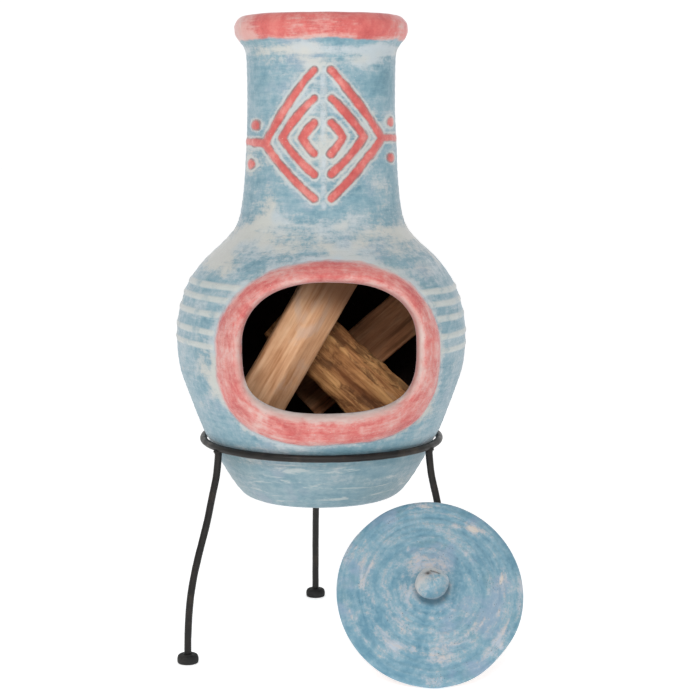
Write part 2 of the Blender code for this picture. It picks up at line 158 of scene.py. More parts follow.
class Field:
    """Signed distance to a turned outline, read from a table."""
    STEP = 0.0015

    def __init__(self, outline):
        line = spline(outline)
        loop = np.concatenate([line, (line * [-1, 1])[::-1]])
        self.r0, self.z0 = -0.012, 0.20
        r = np.arange(self.r0, 0.30, self.STEP)
        z = np.arange(self.z0, 1.12, self.STEP)
        gr, gz = np.meshgrid(r, z, indexing="ij")
        q = np.stack([gr.ravel(), gz.ravel()], 1)
        best = np.full(len(q), 9.0)
        inside = np.zeros(len(q), bool)
        for a, b in zip(loop, np.roll(loop, -1, 0)):
            ab = b - a
            ll = ab @ ab
            if ll < 1e-14:
                continue
            t = np.clip(((q - a) @ ab) / ll, 0, 1)
            d = q - a - t[:, None] * ab
            best = np.minimum(best, np.einsum("ij,ij->i", d, d))
            if a[1] != b[1]:
                cross = (a[1] > q[:, 1]) != (b[1] > q[:, 1])
                x = a[0] + (q[:, 1] - a[1]) * ab[0] / ab[1]
                inside ^= cross & (q[:, 0] < x)
        dist = np.sqrt(best)
        dist[inside] *= -1
        self.grid = dist.reshape(gr.shape)

    def __call__(self, rho, z):
        u = np.clip((rho - self.r0) / self.STEP, 0, self.grid.shape[0] - 1.001)
        v = np.clip((z - self.z0) / self.STEP, 0, self.grid.shape[1] - 1.001)
        i, j = u.astype(int), v.astype(int)
        fu, fv = u - i, v - j
        g = self.grid
        return ((g[i, j] * (1 - fu) + g[i + 1, j] * fu) * (1 - fv)
                + (g[i, j + 1] * (1 - fu) + g[i + 1, j + 1] * fu) * fv)


outer_field, inner_field = Field(OUTER), Field(INNER)

MOUTH_TURN = math.radians(3.8)
MOUTH_Z = 0.5265
MOUTH_DIR = np.array([math.sin(MOUTH_TURN), -math.cos(MOUTH_TURN), 0.0])
MOUTH_SIDE = np.array([math.cos(MOUTH_TURN), math.sin(MOUTH_TURN), 0.0])


def squashed(s, t, half_w, up, down, n_up, n_down):
    """Rough signed distance to a squashed circle with squarer lower corners."""
    n = n_down + (n_up - n_down) * sstep(-0.02, 0.02, t)
    h = down + (up - down) * sstep(-0.02, 0.02, t)
    a, b = np.abs(s) / half_w, np.abs(t) / h
    a, b = np.maximum(a, 1e-5), np.maximum(b, 1e-5)
    f = (a ** n + b ** n) ** (1 / n)
    ga = (a / f) ** (n - 1) / half_w
    gb = (b / f) ** (n - 1) / h
    return (f - 1) / np.sqrt(ga * ga + gb * gb)


# relief on the neck, drawn on an upright plane: x across, z up
DX = 0.0045
RIBS = []
for half_l, half_r, top, mid_l, mid_r, bottom, bow_l, bow_r in (
        (0.0930, 0.0935, 0.9540, 0.8385, 0.8475, 0.7535, 0.0050, 0.0030),
        (0.0668, 0.0640, 0.9100, 0.8480, 0.8505, 0.7910, 0.0028, 0.0025),
        (0.0350, 0.0305, 0.8717, 0.8485, 0.8495, 0.8240, 0.0010, 0.0010)):
    for sign, half, mid, tip, bow in ((-1, half_l, mid_l, 0.0155, bow_l),
                                      (1, half_r, mid_r, 0.0120, bow_r)):
        for end in (top, bottom):
            # each arm swells a little outward on its way to the corner
            a = np.array([DX + sign * tip, end])
            b = np.array([DX + sign * half, mid])
            out = np.array([sign * 0.72, 0.69 if end > mid else -0.69])
            line = [a + (b - a) * t + out * bow * 4 * t * (1 - t)
                    for t in (0.0, 0.2, 0.4, 0.6, 0.8, 1.0)]
            RIBS += list(zip(line, line[1:]))
RIB_HALF = 0.0062
BARS = [(-0.0905, 0.8390, -0.1190, 0.8420), (0.0990, 0.8480, 0.1190, 0.8480)]
DOTS = [(-60.5, 0.8680), (-65.5, 0.8055), (66.0, 0.8735), (64.0, 0.8165)]
BANDS = (0.6110, 0.5915, 0.5680, 0.5395, 0.5172)


def segment(px, pz, a, b):
    ax, az, bx, bz = a[0], a[1], b[0], b[1]
    dx, dz = bx - ax, bz - az
    t = np.clip(((px - ax) * dx + (pz - az) * dz) / (dx * dx + dz * dz), 0, 1)
    return np.hypot(px - ax - t * dx, pz - az - t * dz)


def relief(p):
    """Distances from the middle lines of the ribs, the bands and the spine."""
    x, y, z = p[:, 0], p[:, 1], p[:, 2]
    wave = (vnoise(p, 38.0, 5) - 0.5) * 0.0022
    front = y < 0.005
    rib = np.full(len(p), 9.0)
    for a, b in RIBS:
        rib = np.minimum(rib, segment(x, z, a, b))
    for x0, z0, x1, z1 in BARS:
        rib = np.minimum(rib, segment(x, z, (x0, z0), (x1, z1)))
    rho = np.hypot(x, y)
    for azimuth, height in DOTS:
        a = math.radians(azimuth)
        turn = np.arctan2(x * math.cos(a) + y * math.sin(a),
                          x * math.sin(a) - y * math.cos(a))
        rib = np.minimum(rib, np.hypot(turn * rho * 0.50, z - height) - 0.0016)
    rib = np.where(front, rib + wave, 9.0)
    spine = np.where(front, segment(x, z, (0.0042, 0.960), (0.0040, 0.740))
                     + wave + (vnoise(p, 60.0, 6) - 0.5) * 0.003, 9.0)
    level = z + x * math.tan(math.radians(1.5)) + (vnoise(p, 14.0, 9) - 0.5) * 0.002
    band = np.full(len(p), 9.0)
    for height in BANDS:
        band = np.minimum(band, np.abs(level - height))
    return rib, spine, band


def parts_of(p):
    """Everything the pot's shape and paint need at points p (design)."""
    s, w = p @ MOUTH_SIDE, p @ MOUTH_DIR
    t = p[:, 2] - MOUTH_Z
    rough = (vnoise(p, 22.0, 2) - 0.5)
    # the fire mouth narrows inward a little
    flare = np.clip(w - 0.185, 0.0, 0.05) * 0.20
    mouth = squashed(s - 0.001, t, 0.1368, 0.0968, 0.1000, 2.45, 3.5)
    mouth = mouth - flare + rough * 0.0022
    collar = squashed(s - 0.001, t, 0.1775, 0.1335, 0.1565, 2.05, 2.95)
    collar = collar + (vnoise(p, 15.0, 3) - 0.5) * 0.005
    mouth = np.where(w > 0.02, mouth, 9.0)
    collar = np.where(w > 0.02, collar, 9.0)
    rib, spine, band = relief(p)
    return mouth, collar, rib, spine, band


def pot_shape(p, full=False):
    mouth, collar, rib, spine, band = parts_of(p)
    rho, z = np.hypot(p[:, 0], p[:, 1]), p[:, 2]
    outer, inner = outer_field(rho, z), inner_field(rho, z)
    # hand-thrown unevenness, never proud of the true outline by design
    lumps = (fnoise(p, 5.5, 2, 11) - 0.5) * 0.0036
    small = (fnoise(p, 34.0, 2, 13) - 0.5) * 0.0011
    rings = np.sin(z * math.tau / 0.0125 + 5 * vnoise(p, 6.0, 17)) * 0.00018
    outer = outer + 0.0011 + lumps + small + rings
    # the collar: a rounded coil between its outer line and the mouth
    u = np.clip(mouth / np.maximum(mouth - collar, 1e-4), 0, 1)
    coil = np.clip(1 - np.abs(2 * u - 1) ** 2.6, 0, 1) ** 0.62
    coil = np.where((mouth > 0) & (collar < 0), coil, 0.0)
    coil = np.where(mouth <= 0, 0.55, coil)
    coil = np.where(mouth > 8, 0.0, coil)
    outer = outer - coil * 0.0105
    clear = sstep(0.0, 0.007, collar)
    lift = 0.0050 * (1 - sstep(RIB_HALF * 0.30, RIB_HALF * 1.30, rib))
    lift = lift * (1 - 0.62 * sstep(0.090, 0.112, np.abs(p[:, 0])))
    lift = np.maximum(lift, 0.0016 * (1 - sstep(0.001, 0.0062, spine)))
    lift = np.maximum(lift, 0.0016 * clear * (1 - sstep(0.0012, 0.0058, band)))
    outer = outer - lift
    d = smax(outer, -inner, 0.010)
    d = smax(d, -mouth, 0.013)
    if not full:
        return d
    return d, outer, inner, mouth, collar, rib, spine, band


CLAY = ["clay_base", "clay_belly_lower", "clay_belly_upper", "clay_shoulder",
        "clay_throat", "clay_neck", "chimney_rim", "mouth_collar"]


def joined_copy(names, name):
    """The clay nodes in one mesh, each grown a little into its neighbours."""
    bm = bmesh.new()
    for node in names:
        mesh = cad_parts[node].data.copy()
        co = np.empty(len(mesh.vertices) * 3)
        mesh.vertices.foreach_get("co", co)
        co = co.reshape(-1, 3) - AXIS
        if node == "mouth_collar":
            co = co * [0.985, 0.985, 1.0]
        else:
            middle = (co[:, 2].max() + co[:, 2].min()) / 2
            spread = 1 + 0.0012 / (co[:, 2].max() - middle)
            co[:, 2] = middle + (co[:, 2] - middle) * spread
        mesh.vertices.foreach_set("co", co.ravel())
        bm.from_mesh(mesh)
        bpy.data.meshes.remove(mesh)
    out = bpy.data.meshes.new(name)
    bm.to_mesh(out)
    bm.free()
    obj = bpy.data.objects.new(name, out)
    looks.objects.link(obj)
    return obj


def get_co(mesh):
    co = np.empty(len(mesh.vertices) * 3)
    mesh.vertices.foreach_get("co", co)
    return co.reshape(-1, 3)


def set_co(mesh, co):
    mesh.vertices.foreach_set("co", co.ravel())
    mesh.update()


def float_attribute(mesh, name, values):
    a = mesh.attributes.new(name, "FLOAT", "POINT")
    a.data.foreach_set("value", np.ascontiguousarray(values, np.float32))


def vector_attribute(mesh, name, values):
    a = mesh.attributes.new(name, "FLOAT_VECTOR", "POINT")
    a.data.foreach_set("vector",
                       np.ascontiguousarray(values, np.float32).ravel())


def apply_modifiers(obj):
    graph = bpy.context.evaluated_depsgraph_get()
    graph.update()
    mesh = bpy.data.meshes.new_from_object(obj.evaluated_get(graph))
    old = obj.data
    obj.modifiers.clear()
    obj.data = mesh
    bpy.data.meshes.remove(old)
    return mesh


# patches of the hand-rubbed finish: x, z, half sizes, amount
WASH = [
    (0.058, 0.979, 0.050, 0.012, 0.9), (-0.078, 0.751, 0.022, 0.020, 1.0),
    (-0.092, 0.716, 0.030, 0.014, 0.8), (-0.137, 0.684, 0.038, 0.017, 1.1),
    (-0.170, 0.657, 0.022, 0.014, 0.7), (0.145, 0.684, 0.032, 0.014, 0.9),
    (0.037, 0.684, 0.060, 0.010, 0.45), (0.085, 0.767, 0.036, 0.026, 0.55),
    (-0.143, 0.640, 0.020, 0.020, 0.8), (-0.182, 0.440, 0.018, 0.040, 0.8),
    (0.157, 0.405, 0.030, 0.020, 0.5), (0.045, 0.300, 0.070, 0.014, 0.6),
    (-0.125, 0.296, 0.020, 0.020, 0.5), (0.030, 0.722, 0.050, 0.008, 0.4),
    (0.215, 0.470, 0.016, 0.040, 0.45),
    (-0.094, 0.930, 0.024, 0.032, -0.8), (0.086, 0.915, 0.034, 0.028, -0.9),
    (0.000, 0.733, 0.030, 0.014, -0.6), (-0.200, 0.500, 0.020, 0.030, -0.5),
    (0.105, 0.800, 0.020, 0.020, -0.5), (0.110, 0.330, 0.040, 0.014, -0.5)]


def make_pot():
    obj = joined_copy(CLAY, "clay_pot")
    remesh = obj.modifiers.new("remesh", "REMESH")
    remesh.mode = "VOXEL"
    remesh.voxel_size = 0.0030
    mesh = apply_modifiers(obj)
    co = get_co(mesh)
    n = len(co)
    edges = np.empty(len(mesh.edges) * 2, np.int64)
    mesh.edges.foreach_get("vertices", edges)
    edges = edges.reshape(-1, 2)
    both = np.concatenate([edges, edges[:, ::-1]])
    count = np.bincount(both[:, 0], minlength=n)[:, None]

    def project(q, rounds):
        eps = 0.0006
        for _ in range(rounds):
            d = pot_shape(q)
            grad = np.stack([(pot_shape(q + e) - d) / eps
                             for e in np.eye(3) * eps], 1)
            length = np.einsum("ij,ij->i", grad, grad)
            step = np.clip(d / np.maximum(length, 0.25), -0.006, 0.006)
            q = q - step[:, None] * grad
        return q

    def relax(q, amount):
        mean = np.stack([np.bincount(both[:, 0], q[both[:, 1], k], n)
                         for k in range(3)], 1) / count
        return q + (mean - q) * amount

    co = project(co, 3)
    for _ in range(3):
        co = project(relax(co, 0.6), 2)
    co = project(relax(co, 0.25), 2)
    d, outer, inner, mouth, collar, rib, spine, band = pot_shape(co, True)
    limit_z = 1.0449
    co[:, 2] = np.minimum(co[:, 2], limit_z)
    set_co(mesh, co + AXIS)
    float_attribute(mesh, "skin", np.clip(outer, -0.1, 0.1))
    float_attribute(mesh, "hollow", np.clip(inner, -0.1, 0.1))
    float_attribute(mesh, "mouth", np.clip(mouth, -0.2, 0.2))
    float_attribute(mesh, "collar", np.clip(collar, -0.2, 0.2))
    float_attribute(mesh, "rib", np.clip(rib - RIB_HALF, -0.02, 0.1))
    float_attribute(mesh, "spine", np.clip(spine - 0.0045, -0.02, 0.1))
    float_attribute(mesh, "band", np.clip(band - 0.0042, -0.02, 0.1))
    # where chalk was rubbed on heavily (+) or the blue was left bare (-)
    warp = co + np.stack([vnoise(co, 17.0, 40 + k) - 0.5 for k in range(3)], 1) * 0.05
    wash = np.zeros(n)
    for x, z, rx, rz, amount in WASH:
        wash += amount * np.exp(-((warp[:, 0] - x) / rx) ** 2
                                - ((warp[:, 2] - z) / rz) ** 2)
    float_attribute(mesh, "wash", np.where(co[:, 1] < 0.03, wash, 0.0))
    s, t = co @ MOUTH_SIDE, co[:, 2] - MOUTH_Z
    around = np.arctan2(t / 0.80, s)
    vector_attribute(mesh, "coil", np.stack(
        [0.155 * np.cos(around), 0.155 * np.sin(around),
         5.0 * np.clip(mouth, -0.1, 0.1)], 1))
    # the lower left and the right of the opening were rubbed down to chalk
    def lobe(middle, half):
        off = (around - math.radians(middle) + math.pi) % math.tau - math.pi
        return np.exp(-(off / math.radians(half)) ** 2)
    lee = lobe(-128, 34) + 0.75 * lobe(-82, 30) + 0.8 * lobe(2, 26) + 0.5 * lobe(40, 18)
    float_attribute(mesh, "lee", np.clip(lee, 0, 1.2))
    mesh.shade_smooth()
    return obj


# ------------------------------------------------------------------ nodes
def srgb(r, g, b):
    out = []
    for v in (r, g, b):
        v /= 255.0
        out.append(v / 12.92 if v <= 0.04045 else ((v + 0.055) / 1.055) ** 2.4)
    return (*out, 1.0)


class Nodes:
    """A short way to write a material's node graph."""

    def __init__(self, name):
        self.mat = bpy.data.materials.new(name)
        self.mat.use_nodes = True
        self.tree = self.mat.node_tree
        self.bsdf = self.tree.nodes["Principled BSDF"]

    def new(self, kind, **props):
        node = self.tree.nodes.new(kind)
        for key, value in props.items():
            setattr(node, key, value)
        return node

    def feed(self, socket, value):
        if isinstance(value, bpy.types.NodeSocket):
            self.tree.links.new(value, socket)
        elif value is not None:
            socket.default_value = value

    def math(self, op, a, b=None, c=None, clamp=False):
        node = self.new("ShaderNodeMath", operation=op, use_clamp=clamp)
        for socket, value in zip(node.inputs, (a, b, c)):
            self.feed(socket, value)
        return node.outputs[0]

    def add(self, a, b):
        return self.math("ADD", a, b)

    def sub(self, a, b):
        return self.math("SUBTRACT", a, b)

    def mul(self, a, b):
        return self.math("MULTIPLY", a, b)

    def mx(self, a, b):
        return self.math("MAXIMUM", a, b)

    def mn(self, a, b):
        return self.math("MINIMUM", a, b)

    def band(self, value, low, high, to_low=0.0, to_high=1.0):
        """value from low..high to to_low..to_high, smooth and clamped."""
        node = self.new("ShaderNodeMapRange", interpolation_type="SMOOTHSTEP")
        self.feed(node.inputs["Value"], value)
        for key, v in (("From Min", low), ("From Max", high),
                       ("To Min", to_low), ("To Max", to_high)):
            node.inputs[key].default_value = v
        return node.outputs["Result"]

    def attr(self, name, vector=False):
        node = self.new("ShaderNodeAttribute", attribute_name=name)
        return node.outputs["Vector" if vector else "Fac"]

    def coords(self):
        return self.new("ShaderNodeTexCoord").outputs["Object"]

    def scaled(self, vector, scale, rotation=(0, 0, 0)):
        node = self.new("ShaderNodeMapping")
        self.feed(node.inputs["Vector"], vector)
        node.inputs["Scale"].default_value = scale
        node.inputs["Rotation"].default_value = rotation
        return node.outputs[0]

    def noise(self, vector, scale, detail=3.0, rough=0.55, distortion=0.0):
        node = self.new("ShaderNodeTexNoise")
        self.feed(node.inputs["Vector"], vector)
        node.inputs["Scale"].default_value = scale
        node.inputs["Detail"].default_value = detail
        node.inputs["Roughness"].default_value = rough
        node.inputs["Distortion"].default_value = distortion
        return node.outputs["Fac"]

    def cells(self, vector, scale):
        node = self.new("ShaderNodeTexVoronoi")
        self.feed(node.inputs["Vector"], vector)
        node.inputs["Scale"].default_value = scale
        return node.outputs["Distance"]

    def mix(self, fac, a, b, kind="MIX"):
        node = self.new("ShaderNodeMix", data_type="RGBA", blend_type=kind)
        self.feed(node.inputs[0], fac)
        self.feed(node.inputs[6], a)
        self.feed(node.inputs[7], b)
        return node.outputs[2]

    def ramp(self, value, stops):
        node = self.new("ShaderNodeValToRGB")
        self.feed(node.inputs[0], value)
        r = node.color_ramp
        while len(r.elements) < len(stops):
            r.elements.new(0.5)
        for element, (pos, colour) in zip(r.elements, stops):
            element.position = pos
            element.color = colour
        return node.outputs["Color"]

    def finish(self, colour, roughness, height=None, strength=0.3,
               distance=0.001, metallic=None, specular=0.3, dust=0.0):
        self.feed(self.bsdf.inputs["Base Color"], colour)
        self.feed(self.bsdf.inputs["Roughness"], roughness)
        if metallic is not None:
            self.feed(self.bsdf.inputs["Metallic"], metallic)
        self.bsdf.inputs["Specular IOR Level"].default_value = specular
        if dust:
            # dry chalk dust catches light near the edges
            self.bsdf.inputs["Sheen Weight"].default_value = dust
            self.bsdf.inputs["Sheen Roughness"].default_value = 0.42
            self.bsdf.inputs["Sheen Tint"].default_value = (0.95, 0.94, 0.97, 1.0)
        if height is not None:
            bump = self.new("ShaderNodeBump")
            bump.inputs["Strength"].default_value = strength
            bump.inputs["Distance"].default_value = distance
            self.feed(bump.inputs["Height"], height)
            self.feed(self.bsdf.inputs["Normal"], bump.outputs[0])
        return self.mat


def blue_wash(m, co, streak_co, deep, mid, pale, bias):
    """Thin blue paint with chalky dry-brush rubs: colours and masks."""
    patch = m.noise(co, 6.5, 4.0, 0.6, 0.6)
    mottle = m.noise(co, 21.0, 5.0, 0.62, 0.3)
    fine = m.noise(co, 95.0, 4.0, 0.7)
    streak = m.noise(streak_co, 5.0, 4.0, 0.65, 0.2)
    dry = m.noise(streak_co, 19.0, 5.0, 0.75, 0.15)
    tone = m.add(m.add(m.mul(patch, 0.26), m.mul(mottle, 0.26)),
                 m.add(m.mul(fine, 0.24), m.mul(dry, 0.24)))
    blue = m.ramp(tone, [(0.40, deep), (0.49, mid), (0.60, pale)])
    green = m.band(m.noise(m.scaled(co, (1, 1, 1.3)), 9.0, 3.0), 0.54, 0.68, 0, 0.45)
    blue = m.mix(green, blue, srgb(120, 152, 158))
    lilac = m.band(m.noise(m.scaled(co, (1.2, 1, 0.8)), 12.0, 3.0), 0.56, 0.70, 0, 0.5)
    blue = m.mix(lilac, blue, srgb(148, 159, 178))
    grain = m.noise(co, 260.0, 2.0, 0.6)
    rub = m.add(m.add(m.mul(m.noise(co, 5.5, 3.0, 0.55, 0.8), 0.46),
                      m.mul(streak, 0.26)),
                m.add(m.mul(mottle, 0.38), m.add(m.mul(fine, 0.30), m.mul(dry, 0.34))))
    rub = m.add(m.add(m.add(rub, 0.14), bias), m.mul(m.sub(grain, 0.5), 0.14))
    veil = m.band(rub, 0.92, 1.22)
    rub = m.band(rub, 1.06, 1.26)
    return blue, veil, rub, fine, mottle, streak, dry


def clay_paint():
    m = Nodes("painted_clay")
    co = m.coords()
    streaks = m.scaled(co, (1.0, 1.0, 7.0), (0.0, 0.10, 0.0))
    height = m.new("ShaderNodeSeparateXYZ")
    m.feed(height.inputs[0], co)
    x, z = height.outputs["X"], height.outputs["Z"]
    rib, spine = m.attr("rib"), m.attr("spine")
    band, collar = m.attr("band"), m.attr("collar")
    mouth, skin = m.attr("mouth"), m.attr("skin")
    wash, coil = m.attr("wash"), m.attr("coil", True)

    # chalk is rubbed on thicker over the shoulder, low on the body and by
    # whatever stands proud
    shoulder = m.mul(m.band(z, 0.62, 0.68), m.band(z, 0.76, 0.70))
    rim_line = m.mul(m.band(z, 0.976, 0.984), m.band(z, 0.998, 0.989))
    under_rim = m.mul(m.band(z, 0.950, 0.975), m.band(z, 1.001, 0.995))
    halo = m.band(rib, 0.0078, 0.0000)
    halo = m.mx(halo, m.mul(m.band(spine, 0.0040, -0.0010), 0.30))
    inside = m.mul(m.band(m.mn(rib, spine), 0.014, 0.009), 0.075)
    collar_halo = m.band(collar, 0.013, 0.001)
    hoops = m.mul(m.band(m.sub(band, 0.0), 0.010, 0.003), 0.03)
    bias = m.add(m.add(m.mul(shoulder, 0.12), m.mul(rim_line, 0.16)),
                 m.add(m.mul(halo, 0.24), m.mul(under_rim, 0.05)))
    bias = m.add(bias, m.add(m.mul(collar_halo, 0.15), m.mul(wash, 0.20)))
    bias = m.add(bias, m.add(inside, hoops))
    blue, veil, rub, fine, mottle, streak, dry = blue_wash(
        m, co, streaks, srgb(92, 134, 149), srgb(117, 153, 166),
        srgb(146, 172, 181), bias)
    cream = m.mix(m.band(m.add(m.noise(co, 8.0, 3.0), m.mul(wash, 0.10)), 0.46, 0.60),
                  srgb(192, 199, 202), srgb(205, 201, 191))
    cream = m.mix(halo, cream, srgb(204, 204, 198))
    colour = m.mix(m.mul(veil, 0.50), blue, srgb(168, 182, 188))
    colour = m.mix(m.mul(rub, 0.72), colour, cream)
    # raised hoops and the diamond's spine are left chalky
    wear = m.band(m.noise(co, 30.0, 4.0, 0.65), 0.30, 0.52, 0.30, 1.0)
    hoop = m.band(m.add(band, m.mul(m.sub(mottle, 0.5), 0.004)), 0.0022, -0.0014)
    hoop = m.mul(m.mul(hoop, m.band(collar, 0.000, 0.005)), wear)
    colour = m.mix(m.mul(hoop, 0.78), colour, srgb(200, 202, 196))
    stripe = m.band(m.add(spine, m.mul(m.sub(fine, 0.5), 0.010)), 0.0015, -0.0035)
    stripe = m.mul(stripe, m.band(m.noise(co, 55.0, 4.0, 0.7), 0.38, 0.62, 0.0, 0.75))
    colour = m.mix(stripe, colour, srgb(192, 201, 206))

    # coral paint: ribs, rim and collar, each rubbed through to pink and chalk
    wander = m.mul(m.sub(m.noise(co, 60.0, 3.0, 0.6), 0.5), 0.0050)
    on_rib = m.band(m.add(rib, wander), 0.0014, -0.0014)
    wander2 = m.mul(m.sub(m.noise(co, 28.0, 4.0, 0.65), 0.5), 0.012)
    on_rim = m.band(m.add(z, wander2), 1.0010, 1.0050)
    on_rim = m.mul(on_rim, m.band(skin, -0.030, -0.018))
    on_collar = m.band(m.add(collar, m.mul(wander2, 0.7)), 0.0022, -0.0030)
    on_collar = m.mul(on_collar, m.band(m.add(mouth, m.mul(wander2, 0.5)), -0.006, 0.001))
    on_collar = m.mul(on_collar, m.band(skin, -0.014, -0.005))
    strokes = m.noise(coil, 17.0, 5.0, 0.7, 0.2)
    strokes_fine = m.noise(coil, 52.0, 4.0, 0.7)
    coral_tone = m.add(m.mul(mottle, 0.5), m.add(m.mul(fine, 0.25), m.mul(strokes, 0.25)))
    coral = m.ramp(coral_tone, [(0.38, srgb(186, 84, 83)), (0.50, srgb(205, 106, 101)),
                                (0.62, srgb(216, 131, 123))])
    pink = m.mix(m.band(mottle, 0.40, 0.62), srgb(218, 174, 165), srgb(210, 193, 186))
    lee = m.attr("lee")
    inner_edge = m.mul(m.band(mouth, 0.013, 0.001), m.add(m.mul(lee, 0.34), 0.06))
    side = m.mul(m.mul(m.band(x, -0.165, -0.205), m.band(collar, -0.001, -0.010)), 0.05)
    rub2 = m.add(m.add(m.mul(strokes, 0.55), m.mul(strokes_fine, 0.35)),
                 m.add(m.mul(m.noise(co, 14.0, 3.0, 0.6, 0.4), 0.50), m.mul(fine, 0.35)))
    rub2 = m.add(rub2, m.add(inner_edge, side))
    on_coil = m.mix(m.mul(m.band(rub2, 0.72, 1.16), 0.80), coral, pink)
    edge_chalk = m.band(m.add(m.mul(inner_edge, 1.0), m.mul(m.sub(strokes, 0.5), 0.9)), 0.16, 0.38)
    on_coil = m.mix(m.mul(edge_chalk, 0.50), on_coil, srgb(216, 196, 189))
    colour = m.mix(on_collar, colour, on_coil)
    rub3 = m.add(m.add(m.mul(dry, 0.55), m.mul(streak, 0.30)),
                 m.add(m.mul(m.noise(co, 15.0, 3.0, 0.6, 0.4), 0.55), m.mul(fine, 0.30)))
    ends = m.mul(m.band(x, -0.125, -0.160), 0.22)
    lower = m.mul(m.band(z, 1.013, 1.003), 0.14)
    rub3 = m.band(m.add(rub3, m.add(ends, lower)), 0.84, 1.12)
    colour = m.mix(on_rim, colour, m.mix(m.mul(rub3, 0.72), coral, pink))
    rub4 = m.band(m.add(m.mul(mottle, 0.6), m.mul(fine, 0.5)), 0.52, 0.74)
    colour = m.mix(on_rib, colour, m.mix(m.mul(rub4, 0.45), coral, srgb(222, 158, 150)))
    # painted shade: a dark line along the foot of each rib, broken up by noise
    rib_foot_shade = m.mul(m.band(m.add(rib, wander), -0.0022, 0.0002), m.band(m.add(rib, wander), 0.0026, 0.0008))
    rib_foot_shade = m.mul(rib_foot_shade, m.band(m.noise(co, 48.0, 3.0, 0.6), 0.40, 0.60, 0.15, 0.70))
    colour = m.mix(rib_foot_shade, colour, srgb(124, 98, 98))

    # the reveal of the mouth is bare pinkish chalk, the firebox is sooty
    reveal = m.mul(m.band(mouth, 0.004, 0.000), m.band(mouth, -0.030, -0.020))
    bare = m.mix(m.band(mottle, 0.40, 0.62), srgb(216, 204, 198), srgb(200, 180, 172))
    foot = m.add(m.mul(m.sub(0.468, z), 14.0), m.mul(x, -1.6))
    bare = m.mix(m.band(m.add(foot, m.mul(m.sub(mottle, 0.5), 0.9)), -0.10, 0.30),
                 srgb(184, 112, 104), bare)
    colour = m.mix(m.mul(reveal, 0.92), colour, bare)
    soot = m.band(m.add(skin, m.mul(m.sub(mottle, 0.5), 0.006)), -0.011, -0.017)
    dark = m.mix(m.band(mottle, 0.35, 0.65), srgb(34, 22, 18), srgb(56, 38, 30))
    colour = m.mix(soot, colour, dark)

    low = m.mul(m.band(z, 0.352, 0.330), m.band(skin, -0.016, -0.008))
    colour = m.mix(m.mul(low, 0.30), colour, srgb(118, 134, 138))
    dab = m.mul(m.band(m.noise(streaks, 13.0, 4.0, 0.65, 0.9), 0.57, 0.66), low)
    colour = m.mix(m.mul(dab, 0.55), colour, srgb(196, 200, 196))
    # specks and hairline marks
    speck = m.band(m.cells(co, 210.0), 0.15, 0.06)
    speck = m.mul(speck, m.band(m.noise(co, 17.0, 2.0), 0.48, 0.60))
    colour = m.mix(m.mul(speck, 0.6), colour, srgb(84, 92, 98))
    nick = m.mul(m.band(m.cells(co, 120.0), 0.10, 0.04), m.band(m.noise(co, 11.0, 2.0), 0.50, 0.60))
    colour = m.mix(m.mul(nick, 0.7), colour, srgb(206, 204, 198))
    rough = m.band(m.add(mottle, m.mul(fine, 0.5)), 0.5, 1.0, 0.94, 0.76)
    bumps = m.add(m.add(m.mul(fine, 0.55), m.mul(mottle, 0.9)),
                  m.add(m.mul(rub, 0.30), m.mul(dry, 0.55)))
    return m.finish(colour, rough, bumps, 0.72, 0.0026, specular=0.20, dust=0.50)


# ------------------------------------------------------------------ pot
pot = make_pot()
pot.data.materials.append(clay_paint())
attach(pot, "pot")
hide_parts(*[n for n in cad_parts
                   if n in CLAY
                   or n.startswith(("diamond_", "neck_", "belly_band_"))])


# ------------------------------------------------------------------ lid
LID_LEAN, LID_TURN = math.radians(33.0), math.radians(1.0)
LID_AT = np.array([0.17246, -0.18682, 0.12630]) + AXIS
LID_TALL = 1.027
face = np.array([math.sin(LID_TURN) * math.cos(LID_LEAN),
                 -math.cos(LID_TURN) * math.cos(LID_LEAN), math.sin(LID_LEAN)])
across = np.array([math.cos(LID_TURN), math.sin(LID_TURN), 0.0])
upward = np.cross(face, across)


def revolve(profile, around):
    """Vertices and faces of a turned closed solid with one point at each end."""
    rows = len(profile)
    ang = np.arange(around) * math.tau / around
    verts, faces = [], []
    for r, t in profile[1:-1]:
        verts.append(np.stack([r * np.cos(ang), r * np.sin(ang),
                               np.full(around, t)], 1))
    verts = np.concatenate(verts + [np.array([[0, 0, profile[0][1]],
                                              [0, 0, profile[-1][1]]])])
    first, last = len(verts) - 2, len(verts) - 1
    rings = rows - 2
    for k in range(around):
        n = (k + 1) % around
        faces.append((first, k, n))
        base = (rings - 1) * around
        faces.append((last, base + n, base + k))
    for j in range(rings - 1):
        a, b = j * around, (j + 1) * around
        for k in range(around):
            n = (k + 1) % around
            faces.append((a + k, b + k, b + n, a + n))
    return verts, faces


def mesh_object(name, verts, faces):
    mesh = bpy.data.meshes.new(name)
    mesh.from_pydata([tuple(v) for v in verts], [], faces)
    bm = bmesh.new()
    bm.from_mesh(mesh)
    bmesh.ops.recalc_face_normals(bm, faces=bm.faces)
    bm.to_mesh(mesh)
    bm.free()
    mesh.shade_smooth()
    obj = bpy.data.objects.new(name, mesh)
    looks.objects.link(obj)
    return obj


def even_line(points, step):
    """Points an even step apart along a smooth line."""
    line = spline(points, 24)
    lengths = np.r_[0, np.cumsum(np.hypot(*np.diff(line, axis=0).T))]
    at = np.linspace(0, lengths[-1], max(4, int(lengths[-1] / step)))
    return np.stack([np.interp(at, lengths, line[:, k]) for k in (0, 1)], 1)


